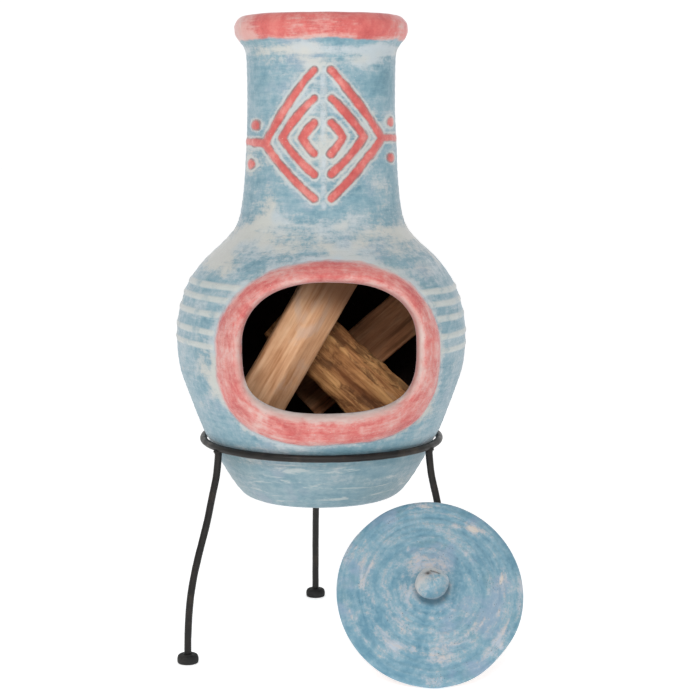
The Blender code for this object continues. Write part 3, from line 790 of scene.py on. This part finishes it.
LID_ARCS = [
    (0.105, 0.007, 175, 32, 0.9), (0.104, 0.010, 250, 30, 1.0),
    (0.096, 0.008, 300, 24, 0.7), (0.100, 0.007, 30, 16, 0.6),
    (0.072, 0.006, 215, 40, 0.8), (0.068, 0.006, 120, 30, 0.5),
    (0.052, 0.006, 165, 40, 0.7), (0.036, 0.008, 100, 60, 0.9),
    (0.128, 0.008, 55, 8, 1.5), (0.117, 0.007, 8, 9, 1.6),
    (0.140, 0.006, 92, 16, 1.3), (0.138, 0.007, 268, 8, 1.1),
    (0.132, 0.008, 325, 10, 0.9), (0.142, 0.005, 350, 12, 0.9),
    (0.012, 0.010, 150, 80, 0.9), (0.120, 0.012, 210, 20, 0.5)]


def make_lid():
    outline = [(0.0, 0.0800), (0.0070, 0.0788), (0.0140, 0.0752),
               (0.0208, 0.0692), (0.0248, 0.0618), (0.0245, 0.0540),
               (0.0222, 0.0475), (0.0222, 0.0425), (0.0255, 0.0385),
               (0.0330, 0.0358), (0.0480, 0.0338), (0.0700, 0.0312),
               (0.0950, 0.0272), (0.1180, 0.0228), (0.1350, 0.0192),
               (0.1440, 0.0160), (0.1488, 0.0118), (0.1499, 0.0080),
               (0.1488, 0.0035), (0.1450, 0.0008), (0.1390, 0.0004),
               (0.1000, 0.0006), (0.0950, -0.0010), (0.0915, -0.0060),
               (0.0880, -0.0105), (0.0820, -0.0117), (0.0300, -0.0116),
               (0.0, -0.0116)]
    step = 0.0016
    profile = even_line(outline, step)
    verts, faces = revolve([tuple(p) for p in profile],
                           432)
    r = np.hypot(verts[:, 0], verts[:, 1])
    ang = np.arctan2(verts[:, 1], verts[:, 0])
    top = sstep(0.004, 0.012, verts[:, 2])
    # uneven rim, a little flat where it was set down to dry
    edge = sstep(0.09, 0.148, r)
    out_of_round = (fnoise(verts * [1, 1, 0], 9.0, 2, 31) - 0.5) * 0.008
    flat = 0.0035 * np.exp(-((ang + 0.75) / 0.28) ** 2) \
        + 0.0015 * np.exp(-((ang - 2.3) / 0.2) ** 2)
    shrink = 1 - edge * (np.clip(0.0010 - out_of_round * 0.25, 0, 0.004) + flat) / 0.15
    # where the edge stands on the ground and touches the leg it stays true
    keep = np.exp(-((np.abs(ang + math.pi / 2)) / 0.10) ** 2)
    shrink = shrink + (1 - shrink) * keep * 0.8
    verts[:, 0] *= shrink
    verts[:, 1] *= shrink
    body = sstep(0.027, 0.040, r) * (1 - sstep(0.143, 0.150, r))
    groove = np.sin(r * math.tau / 0.0105 + ang * 0.35
                    + 3.0 * vnoise(verts, 9.0, 33)) * 0.00042
    lumps = (fnoise(verts, 16.0, 3, 35) - 0.5) * 0.0020
    pits = (fnoise(verts, 70.0, 2, 37) - 0.5) * 0.0007
    verts[:, 2] += top * (body * (groove + lumps - 0.0006) + pits * 0.8)
    # the knob: pinched by hand, dented high on the left, cracked across
    knob = sstep(0.044, 0.056, verts[:, 2]) * (r < 0.03)
    verts[:, 0] *= 1 + knob * 0.07 * np.sin(ang * 2 + 0.7)
    verts[:, 1] *= 1 + knob * 0.05 * np.sin(ang * 3 + 1.9)
    lump = (fnoise(verts, 45.0, 2, 39) - 0.5) * 0.0035
    verts += (knob * lump)[:, None] * (verts - [0, 0, 0.06]) / 0.025
    dent = np.exp(-(((verts[:, 0] + 0.0070) / 0.0050) ** 2
                    + ((verts[:, 1] - 0.0125) / 0.0036) ** 2))
    verts[:, 2] -= knob * dent * 0.0085
    line = verts[:, 1] - 0.0135 + 0.35 * (verts[:, 0] - 0.004) \
        + (vnoise(verts, 160.0, 44) - 0.5) * 0.003
    crack = np.exp(-(line / 0.0012) ** 2) * sstep(-0.006, -0.002, verts[:, 0]) \
        * (1 - sstep(0.009, 0.014, verts[:, 0]))
    verts[:, 2] -= knob * crack * 0.0030
    local = verts.copy()
    tall = 1 + (LID_TALL - 1) * sstep(0.03, 0.10, np.hypot(verts[:, 0], verts[:, 1]))
    verts[:, 1] *= tall
    world = (LID_AT + verts[:, :1] * across + verts[:, 1:2] * upward
             + verts[:, 2:3] * face)
    world[:, 2] = np.maximum(world[:, 2], 0.0002)
    obj = mesh_object("clay_lid", world, faces)
    vector_attribute(obj.data, "loc", local)
    float_attribute(obj.data, "dent", knob * np.clip(dent + crack, 0, 1))
    warp = local + np.stack([vnoise(local, 40.0, 60 + k) - 0.5
                             for k in range(3)], 1) * 0.018
    wr, wa = np.hypot(warp[:, 0], warp[:, 1]), np.arctan2(warp[:, 1], warp[:, 0])
    arcs = np.zeros(len(local))
    # strokes of chalk left as the lid turned: radius, half width, middle
    # angle, half length, amount
    for r0, dr, a0, da, amount in LID_ARCS:
        off = (wa - math.radians(a0) + math.pi) % math.tau - math.pi
        arcs += amount * np.exp(-((wr - r0) / dr) ** 2
                                - (off / math.radians(da)) ** 2)
    float_attribute(obj.data, "wash", arcs)
    return obj


def lid_paint():
    m = Nodes("painted_lid")
    loc = m.attr("loc", True)
    sep = m.new("ShaderNodeSeparateXYZ")
    m.feed(sep.inputs[0], loc)
    lx, ly, lz = sep.outputs
    flat = m.new("ShaderNodeCombineXYZ")
    m.feed(flat.inputs[0], lx)
    m.feed(flat.inputs[1], ly)
    length = m.new("ShaderNodeVectorMath", operation="LENGTH")
    m.feed(length.inputs[0], flat.outputs[0])
    radius = length.outputs["Value"]
    unit = m.new("ShaderNodeVectorMath", operation="NORMALIZE")
    m.feed(unit.inputs[0], flat.outputs[0])
    arcs = m.new("ShaderNodeVectorMath", operation="MULTIPLY_ADD")
    m.feed(arcs.inputs[0], unit.outputs[0])
    arcs.inputs[1].default_value = (0.45, 0.45, 0.0)
    turn = m.new("ShaderNodeCombineXYZ")
    m.feed(turn.inputs[2], m.mul(radius, 22.0))
    m.feed(arcs.inputs[2], turn.outputs[0])
    ring = m.noise(arcs.outputs[0], 4.0, 4.0, 0.6, 0.4)
    ring2 = m.noise(arcs.outputs[0], 9.0, 3.0, 0.6, 0.3)
    patch = m.noise(loc, 13.0, 4.0, 0.6, 0.5)
    mottle = m.noise(loc, 34.0, 5.0, 0.65, 0.3)
    fine = m.noise(loc, 130.0, 4.0, 0.7)
    tone = m.add(m.mul(patch, 0.20), m.add(m.mul(ring, 0.30),
                 m.add(m.mul(mottle, 0.25), m.mul(fine, 0.25))))
    blue = m.ramp(tone, [(0.40, srgb(98, 143, 164)), (0.49, srgb(124, 162, 179)),
                         (0.60, srgb(152, 181, 192))])
    green = m.band(m.noise(loc, 19.0, 3.0), 0.56, 0.70, 0, 0.4)
    blue = m.mix(green, blue, srgb(112, 150, 160))
    lilac = m.band(m.noise(m.scaled(loc, (1, 1.4, 1)), 15.0, 3.0), 0.54, 0.68, 0, 0.55)
    blue = m.mix(lilac, blue, srgb(148, 164, 188))
    grain = m.noise(loc, 300.0, 2.0, 0.6)
    rub = m.add(m.add(m.mul(ring, 0.62), m.mul(patch, 0.30)),
                m.add(m.mul(mottle, 0.50), m.mul(fine, 0.50)))
    rub = m.add(rub, m.mul(m.sub(grain, 0.5), 0.25))
    rub = m.add(rub, m.mul(m.mul(m.band(radius, 0.010, 0.024), m.band(radius, 0.060, 0.040)), 0.08))
    rub = m.add(rub, m.mul(m.attr("wash"), 0.16))
    veil = m.band(rub, 0.88, 1.20)
    rub = m.band(rub, 1.01, 1.22)
    chalk = m.mix(m.band(ring2, 0.4, 0.6), srgb(206, 196, 192), srgb(186, 194, 206))
    colour = m.mix(m.mul(veil, 0.45), blue, srgb(168, 186, 196))
    colour = m.mix(m.mul(rub, 0.75), colour, chalk)
    flake = m.band(m.add(m.attr("wash"), m.mul(m.sub(mottle, 0.5), 2.4)), 1.15, 1.60)
    colour = m.mix(m.mul(flake, 0.75), colour, srgb(216, 205, 192))
    speck = m.mul(m.band(m.cells(loc, 190.0), 0.18, 0.08), m.band(m.noise(loc, 23.0, 2.0), 0.52, 0.62))
    colour = m.mix(m.mul(speck, 0.7), colour, srgb(72, 84, 92))
    # the knob: a painted highlight high on its left, painted shade on its lower right, and a painted
    # shadow round its foot on that side
    knob_highlight = m.add(m.add(m.mul(lx, -26.0), m.mul(ly, 30.0)),
                 m.add(m.mul(m.sub(mottle, 0.5), 3.2), m.mul(m.sub(fine, 0.5), 1.2)))
    on_knob = m.mul(m.band(lz, 0.044, 0.050), m.band(radius, 0.036, 0.030))
    colour = m.mix(m.mul(m.mul(on_knob, m.band(knob_highlight, -0.45, 0.55)), 0.60), colour,
                   srgb(200, 196, 190))
    # painted shade on the lower right of the knob
    lee = m.add(m.mul(lx, 14.0), m.mul(ly, -24.0))
    colour = m.mix(m.mul(m.mul(on_knob, m.band(lee, 0.15, 0.60)), 0.55), colour,
                   srgb(84, 124, 142))
    # painted shadow round the foot of the knob, darkest on its lower right
    foot = m.mul(m.band(radius, 0.034, 0.0255), m.band(lz, 0.050, 0.044))
    colour = m.mix(m.mul(foot, m.band(m.add(lee, m.mul(m.sub(mottle, 0.5), 0.6)),
                                     -0.35, 0.35, 0.30, 0.80)), colour,
                   srgb(66, 96, 112))
    under = m.band(lz, 0.004, 0.000)
    colour = m.mix(m.mul(under, 0.75), colour, srgb(186, 146, 124))
    colour = m.mix(m.mul(m.attr("dent"), 0.85), colour, srgb(70, 62, 60))
    rough = m.band(m.add(mottle, m.mul(fine, 0.5)), 0.5, 1.0, 0.9, 0.68)
    bumps = m.add(m.add(m.mul(fine, 0.6), m.mul(mottle, 0.8)), m.add(m.mul(ring, 0.9), m.mul(rub, 0.3)))
    return m.finish(colour, rough, bumps, 0.72, 0.0026, specular=0.20, dust=0.5)


lid = make_lid()
lid.data.materials.append(lid_paint())
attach(lid, "lid")
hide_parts("lid_disc", "lid_knob")

# ------------------------------------------------------------------ stand
ROD_R, RING_R, RING_Z, FOOT_OUT = 0.006, 0.198, 0.3485, 0.2583
LEG_ANGLES = {"rear": 92.5, "front_left": 212.5, "front_right": 332.5}
LEG_LINE = [(0.1980, 0.3420), (0.1995, 0.3250), (0.2030, 0.3000),
            (0.2110, 0.2680), (0.2195, 0.2323), (0.2291, 0.2003),
            (0.2387, 0.1684), (0.2455, 0.1427), (0.2508, 0.1169),
            (0.2545, 0.0907), (0.2567, 0.0643), (0.2580, 0.0390),
            (FOOT_OUT, 0.0200), (FOOT_OUT, 0.0050)]


def sweep(name, path, radius, around=20, closed=False, seed=1):
    """A round bar along a path, a little uneven as forged bar is."""
    path = np.array(path)
    n = len(path)
    if closed:
        tang = np.roll(path, -1, 0) - np.roll(path, 1, 0)
    else:
        tang = np.gradient(path, axis=0)
    tang /= np.linalg.norm(tang, axis=1)[:, None]
    up = np.array([0.0, 0.0, 1.0]) if closed else np.array([0.0, 1.0, 0.0])
    if not closed and abs(tang[0] @ up) > 0.9:
        up = np.array([1.0, 0.0, 0.0])
    side = np.cross(tang, up)
    side /= np.linalg.norm(side, axis=1)[:, None]
    other = np.cross(side, tang)
    ang = np.arange(around) * math.tau / around
    verts = (path[:, None] + radius
             * (np.cos(ang)[None, :, None] * side[:, None]
                + np.sin(ang)[None, :, None] * other[:, None]))
    out = verts - path[:, None]
    flat = verts.reshape(-1, 3)
    dent = (fnoise(flat, 55.0, 2, seed) - 0.62).clip(-0.4, 0.0).reshape(n, around)
    verts = path[:, None] + out * (1 + dent * 0.10)[..., None]
    verts = verts.reshape(-1, 3)
    faces = []
    for j in range(n if closed else n - 1):
        a, b = j * around, ((j + 1) % n) * around
        for k in range(around):
            q = (k + 1) % around
            faces.append((a + k, b + k, b + q, a + q))
    if not closed:
        faces.append(tuple(range(around)))
        faces.append(tuple((n - 1) * around + k for k in range(around))[::-1])
    return mesh_object(name, verts, faces)


def iron_paint():
    m = Nodes("blackened_iron")
    co = m.coords()
    mottle = m.noise(co, 45.0, 4.0, 0.6, 0.3)
    fine = m.noise(co, 320.0, 3.0, 0.7)
    worn = m.band(m.add(m.noise(co, 19.0, 4.0, 0.65), m.mul(fine, 0.2)), 0.62, 0.80)
    colour = m.mix(m.band(mottle, 0.35, 0.65), srgb(20, 18, 17), srgb(33, 30, 27))
    colour = m.mix(m.mul(worn, 0.50), colour, srgb(78, 66, 55))
    rough = m.band(m.add(mottle, m.mul(fine, 0.4)), 0.45, 0.9, 0.36, 0.58)
    return m.finish(colour, rough, m.add(mottle, m.mul(fine, 0.5)), 0.35,
                    0.0006, metallic=0.35, specular=0.5)


iron = iron_paint()
ring_path = []
for k in range(240):
    a = math.tau * k / 240
    # the bar was rolled by hand: it wanders by a few tenths of a millimetre
    r = RING_R + 0.00025 * math.sin(3 * a + 0.6)
    ring_path.append((AXIS[0] + r * math.cos(a), AXIS[1] + r * math.sin(a),
                      RING_Z + 0.0002 * math.sin(2 * a + 1.0)))
ring = sweep("iron_ring", ring_path, ROD_R, 24, closed=True, seed=41)
ring.data.materials.append(iron)
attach(ring, "stand")
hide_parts("stand_ring")


def weld_bead(name, centre, radius, seed):
    """A lumpy run of weld metal wrapped round a joint."""
    bm = bmesh.new()
    bmesh.ops.create_icosphere(bm, subdivisions=4, radius=1.0)
    mesh = bpy.data.meshes.new(name)
    bm.to_mesh(mesh)
    bm.free()
    co = get_co(mesh)
    ripple = 1 + 0.10 * np.sin(co[:, 2] * 11.0 + co[:, 0] * 4.0) \
        + (fnoise(co, 2.6, 3, seed) - 0.5) * 0.28
    set_co(mesh, centre + co * ripple[:, None] * radius)
    mesh.shade_smooth()
    obj = bpy.data.objects.new(name, mesh)
    looks.objects.link(obj)
    return obj


def rubber_paint():
    m = Nodes("foot_rubber")
    co = m.coords()
    mottle = m.noise(co, 70.0, 3.0, 0.6)
    dust = m.band(m.noise(co, 38.0, 4.0, 0.65), 0.52, 0.72)
    colour = m.mix(m.mul(dust, 0.35), srgb(22, 22, 22), srgb(66, 61, 57))
    rough = m.band(mottle, 0.35, 0.65, 0.62, 0.82)
    return m.finish(colour, rough, mottle, 0.3, 0.0005, specular=0.4)


rubber = rubber_paint()
for label, degrees in LEG_ANGLES.items():
    a = math.radians(degrees)
    line = even_line(LEG_LINE, 0.0035)
    path = [(AXIS[0] + r * math.cos(a), AXIS[1] + r * math.sin(a), z)
            for r, z in line]
    leg = sweep("iron_leg_" + label, path, ROD_R, 20, seed=43 + int(degrees))
    leg.data.materials.append(iron)
    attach(leg, "stand")
    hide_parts("leg_" + label)
    centre = np.array([AXIS[0] + 0.1984 * math.cos(a),
                       AXIS[1] + 0.1984 * math.sin(a), RING_Z - ROD_R + 0.0008])
    bead = weld_bead("weld_" + label, centre,
                     np.array([0.0078, 0.0078, 0.0050]), int(degrees))
    bead.data.materials.append(iron)
    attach(bead, "stand")
    pad_line = [(0.0, 0.0150), (0.0072, 0.0150), (0.0082, 0.0153),
                (0.0110, 0.0149), (0.0142, 0.0140), (0.0163, 0.0120),
                (0.0172, 0.0090), (0.0174, 0.0050), (0.0170, 0.0018),
                (0.0158, 0.0003), (0.0120, 0.0001), (0.0, 0.0001)]
    profile = even_line(pad_line, 0.0008)
    profile[:, 1] = np.clip(profile[:, 1], 0.0001, 0.0149)
    profile[0, 0] = profile[-1, 0] = 0.0
    verts, faces = revolve([tuple(p) for p in profile], 72)
    hub = np.array([AXIS[0] + FOOT_OUT * math.cos(a),
                    AXIS[1] + FOOT_OUT * math.sin(a), 0.0])
    pad = mesh_object("foot_pad_" + label, verts + hub, faces)
    pad.data.materials.append(rubber)
    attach(pad, "stand")
    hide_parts("foot_" + label)


# ------------------------------------------------------------------ firewood
def rounded_outline(corners, radius, count):
    """Points round a polygon with its corners rounded, evenly spaced."""
    pts = [np.array(c, float) for c in corners]
    line = []
    for i, p in enumerate(pts):
        a, b = pts[i - 1], pts[(i + 1) % len(pts)]
        ra = min(radius, 0.45 * np.linalg.norm(a - p))
        rb = min(radius, 0.45 * np.linalg.norm(b - p))
        s = p + (a - p) / np.linalg.norm(a - p) * ra
        e = p + (b - p) / np.linalg.norm(b - p) * rb
        for k in range(7):
            t = k / 6
            line.append((1 - t) ** 2 * s + 2 * t * (1 - t) * p + t * t * e)
    line = np.array(line + [line[0]])
    lengths = np.r_[0, np.cumsum(np.linalg.norm(np.diff(line, axis=0), axis=1))]
    at = np.linspace(0, lengths[-1], count, endpoint=False)
    return np.stack([np.interp(at, lengths, line[:, k]) for k in (0, 1)], 1)


def make_log(name, corners, start, end, rough, seed, radius=0.003):
    a, b = np.array(start), np.array(end)
    length = np.linalg.norm(b - a)
    along = (b - a) / length
    toward = np.array([0.0, -1.0, 0.0])
    forward = toward - along * (toward @ along)
    forward /= np.linalg.norm(forward)
    side = np.cross(forward, along)
    around, rows = 150, int(length / 0.0022)
    loop = rounded_outline(corners, radius, around)
    t = np.linspace(0, length, rows)
    local = np.concatenate([np.stack([loop[:, 0], loop[:, 1],
                                      np.full(around, v)], 1) for v in t])
    # fibres run along the log; a few long splinters and steps stand out
    mid = local * [1, 1, 0]
    out = mid / np.linalg.norm(mid, axis=1)[:, None]
    grain = fnoise(local * [1, 1, 0.07], 150.0, 3, seed) - 0.5
    wave = fnoise(local * [1, 1, 0.30], 22.0, 3, seed + 5) - 0.5
    steps = np.round(vnoise(local * [1, 1, 0.12], 60.0, seed + 9) * 3) / 3 - 0.5
    chips = fnoise(local * [1, 1, 0.45], 55.0, 3, seed + 13) - 0.5
    depth = 0.0010 * grain + 0.0040 * wave + 0.0012 * steps
    depth = depth + rough * (0.0110 * chips + 0.0060 * np.abs(chips) ** 0.5 * grain)
    depth = np.minimum(depth - 0.0012, 0.0006)
    end_dip = np.minimum(local[:, 2], length - local[:, 2])
    depth = depth - 0.0012 * (1 - sstep(0.0, 0.004, end_dip))
    local = local + out * depth[:, None]
    verts = [local]
    faces = []
    for j in range(rows - 1):
        p, q = j * around, (j + 1) * around
        for k in range(around):
            n = (k + 1) % around
            faces.append((p + k, q + k, q + n, p + n))
    # sawn ends, closed with rings towards the middle
    count = len(local)
    for row, push in ((0, 1), (rows - 1, -1)):
        edge = local[row * around:(row + 1) * around]
        previous = list(range(row * around, (row + 1) * around))
        for step in range(1, 9):
            shrink = 1 - step / 9
            ring_pts = edge * [shrink, shrink, 1]
            ring_pts[:, 2] = edge[:, 2] + push * (
                0.0004 + 0.0006 * vnoise(ring_pts, 90.0, seed + step))
            verts.append(ring_pts)
            now = list(range(count, count + around))
            for k in range(around):
                n = (k + 1) % around
                faces.append((previous[k], previous[n], now[n], now[k])
                             if push > 0 else
                             (previous[k], now[k], now[n], previous[n]))
            previous = now
            count += around
        centre = np.array([[0, 0, edge[0, 2] + push * 0.0006]])
        verts.append(centre)
        for k in range(around):
            n = (k + 1) % around
            faces.append((previous[k], previous[n], count) if push > 0
                         else (previous[n], previous[k], count))
        count += 1
    local = np.concatenate(verts)
    world = (a + AXIS + local[:, :1] * side + local[:, 1:2] * forward
             + local[:, 2:3] * along)
    obj = mesh_object(name, world, faces)
    vector_attribute(obj.data, "loc", local + seed * 0.37)
    vector_attribute(obj.data, "place", local)
    float_attribute(obj.data, "along", local[:, 2])
    float_attribute(obj.data, "deep", np.r_[depth, np.zeros(count - len(depth))] * 100)
    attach(obj, "pot")
    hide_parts(name.replace("wood_", "log_"))
    return obj


def wood(name, dark, mid, light, grey, bark, lip_shadow=None, side_shade=None):
    m = Nodes(name)
    loc = m.attr("loc", True)
    fibre = m.noise(m.scaled(loc, (1.0, 1.0, 0.060)), 210.0, 3.0, 0.6, 0.1)
    rings = m.noise(m.scaled(loc, (1.0, 1.0, 0.050)), 62.0, 2.0, 0.5, 0.9)
    blotch = m.noise(m.scaled(loc, (1.0, 1.0, 0.5)), 24.0, 4.0, 0.6, 0.5)
    fine = m.noise(m.scaled(loc, (1.0, 1.0, 0.25)), 420.0, 3.0, 0.7)
    tone = m.add(m.mul(rings, 0.40), m.add(m.mul(fibre, 0.30), m.mul(blotch, 0.30)))
    colour = m.ramp(tone, [(0.38, dark), (0.49, mid), (0.60, light)])
    line = m.band(m.math("ABSOLUTE", m.sub(rings, 0.5)), 0.020, 0.004)
    colour = m.mix(m.mul(line, 0.30 + 0.25 * bark), colour, dark)
    colour = m.mix(m.band(blotch, 0.54, 0.70, 0, 0.6), colour, grey)
    rough_bark = m.noise(m.scaled(loc, (1.0, 1.0, 0.42)), 95.0, 5.0, 0.75, 0.6)
    pits = m.band(m.add(m.attr("deep"), m.mul(m.sub(rough_bark, 0.5), 1.3)), -0.12, -0.40)
    black = m.mix(0.55, dark, (0.02, 0.01, 0.006, 1.0))
    colour = m.mix(m.mul(pits, bark), colour, black)
    chip = m.band(m.add(rough_bark, m.mul(m.sub(blotch, 0.5), 0.5)), 0.60, 0.70)
    colour = m.mix(m.mul(chip, 0.6 * bark), colour, light)
    knot = m.band(m.cells(m.scaled(loc, (1.0, 1.0, 0.6)), 17.0), 0.20, 0.06)
    colour = m.mix(m.mul(knot, 0.45), colour, dark)
    if side_shade:
        # painted shade darkens the piece on one side of a line along it; the split side that faces the
        # light keeps its colour
        split = m.new("ShaderNodeSeparateXYZ")
        m.feed(split.inputs[0], m.attr("place", True))
        shade = m.band(m.add(split.outputs["X"], m.mul(m.sub(blotch, 0.5), 0.012)),
                       side_shade[0], side_shade[1])
        colour = m.mix(m.mul(shade, side_shade[2]), colour, black)
    if lip_shadow:
        # painted shadow: the upper end is darkened where the mouth's upper lip shades it
        end = m.band(m.add(m.attr("along"), m.mul(m.sub(blotch, 0.5), 0.02)),
                     lip_shadow[0], lip_shadow[1])
        colour = m.mix(m.mul(end, lip_shadow[2]), colour, srgb(92, 56, 34))
    rough = m.band(fibre, 0.3, 0.7, 0.85, 0.65)
    bumps = m.add(m.mul(fibre, 0.6), m.add(m.mul(fine, 0.3), m.mul(rings, 0.3)))
    bumps = m.add(bumps, m.mul(rough_bark, 2.2 * bark))
    return m.finish(colour, rough, bumps, 0.8, 0.0018, specular=0.22)


pale = wood("pale_split_wood", srgb(172, 118, 78), srgb(208, 158, 119),
            srgb(224, 180, 142), srgb(196, 166, 148), 0.10,
            lip_shadow=(0.168, 0.236, 0.86), side_shade=(-0.008, -0.014, 0.22))
brown = wood("rough_brown_wood", srgb(122, 74, 42), srgb(184, 128, 80),
             srgb(226, 172, 112), srgb(168, 132, 102), 0.70)
dark = wood("dark_plank_wood", srgb(142, 92, 60), srgb(192, 130, 90),
            srgb(216, 160, 118), srgb(172, 132, 104), 0.25,
            side_shade=(-0.020, -0.012, 0.42))
LOGS = [
    ("wood_front", [(0.042, 0.014), (0.038, 0.024), (-0.012, 0.029),
                    (-0.043, 0.010), (-0.040, -0.020), (0.036, -0.024)],
     (-0.1070, -0.1135, 0.4130), (0.0260, -0.0974, 0.6420), 0.05, 51, pale,
     "pale_wood", 0.004),
    ("wood_middle", [(-0.047, -0.016), (-0.046, 0.020), (-0.020, 0.027),
                     (0.038, 0.022), (0.058, 0.002), (0.048, -0.026),
                     (-0.020, -0.030)],
     (-0.0635, -0.0230, 0.5560), (0.1370, -0.0710, 0.3740), 0.9, 61, brown,
     "brown_wood", 0.008),
    ("wood_back", [(-0.040, -0.018), (-0.040, 0.016), (0.012, 0.024),
                   (0.040, 0.006), (0.038, -0.022)],
     (-0.0300, 0.0515, 0.4050), (0.1760, 0.0160, 0.5855), 0.1, 71, dark,
     "dark_wood", 0.004),
    ("wood_floor", [(-0.026, -0.016), (-0.024, 0.016), (0.022, 0.020),
                    (0.027, -0.012)],
     (-0.0800, 0.0500, 0.3050), (0.1350, -0.0075, 0.3960), 0.3, 81, brown,
     "brown_wood", 0.005),
]
for name, corners, start, end, rough, seed, material, slot, radius in LOGS:
    piece = make_log(name, corners, start, end, rough, seed, radius)
    piece.data.materials.append(material)


# ------------------------------------------------------------------ studio
def studio():
    mesh = bpy.data.meshes.new("floor")
    mesh.from_pydata([(-30, -30, 0), (30, -30, 0), (30, 30, 0), (-30, 30, 0)],
                     [], [(0, 1, 2, 3)])
    floor = bpy.data.objects.new("floor", mesh)
    scene.collection.objects.link(floor)
    m = Nodes("pale_floor")
    m.bsdf.inputs["Base Color"].default_value = (0.93, 0.93, 0.93, 1.0)
    m.bsdf.inputs["Roughness"].default_value = 0.9
    m.bsdf.inputs["Specular IOR Level"].default_value = 0.1
    m.bsdf.inputs["Emission Color"].default_value = (1.0, 1.0, 1.0, 1.0)
    m.bsdf.inputs["Emission Strength"].default_value = 0.50
    floor.data.materials.append(m.mat)
    # a white world, brighter behind the object and dimmer towards the front of the room
    world = bpy.data.worlds.new("studio")
    scene.world = world
    world.use_nodes = True
    tree = world.node_tree
    coord = tree.nodes.new("ShaderNodeTexCoord")
    split = tree.nodes.new("ShaderNodeSeparateXYZ")
    level = tree.nodes.new("ShaderNodeMapRange")
    level.interpolation_type = "SMOOTHSTEP"
    tree.links.new(coord.outputs["Generated"], split.inputs[0])
    tree.links.new(split.outputs["Y"], level.inputs["Value"])
    for key, v in (("From Min", 0.15), ("From Max", 0.75),
                   ("To Min", 0.42), ("To Max", 1.04)):
        level.inputs[key].default_value = v
    background = tree.nodes["Background"]
    background.inputs[0].default_value = (1, 1, 1, 1)
    tree.links.new(level.outputs["Result"], background.inputs[1])

    def area(name, where, size, power, target=(0, 0, 0.5)):
        data = bpy.data.lights.new(name, "AREA")
        data.shape = "RECTANGLE"
        data.size, data.size_y = size
        data.energy = power
        lamp = bpy.data.objects.new(name, data)
        scene.collection.objects.link(lamp)
        lamp.location = where
        lamp.rotation_euler = (Vector(target) - Vector(where)).to_track_quat(
            "-Z", "Y").to_euler()
        return lamp

    area("key", (-1.6, -3.0, 2.7), (1.0, 1.0), 30)
    area("front", (0.1, -2.9, 2.05), (0.8, 0.6), 28, (-0.04, 0.0, 0.5))
    area("fill", (2.2, -2.6, 1.4), (1.8, 1.8), 5)
    scene.view_settings.view_transform = "Standard"
    scene.view_settings.look = "None"
    scene.view_settings.exposure = 0.0
    scene.view_settings.gamma = 1.0


studio()
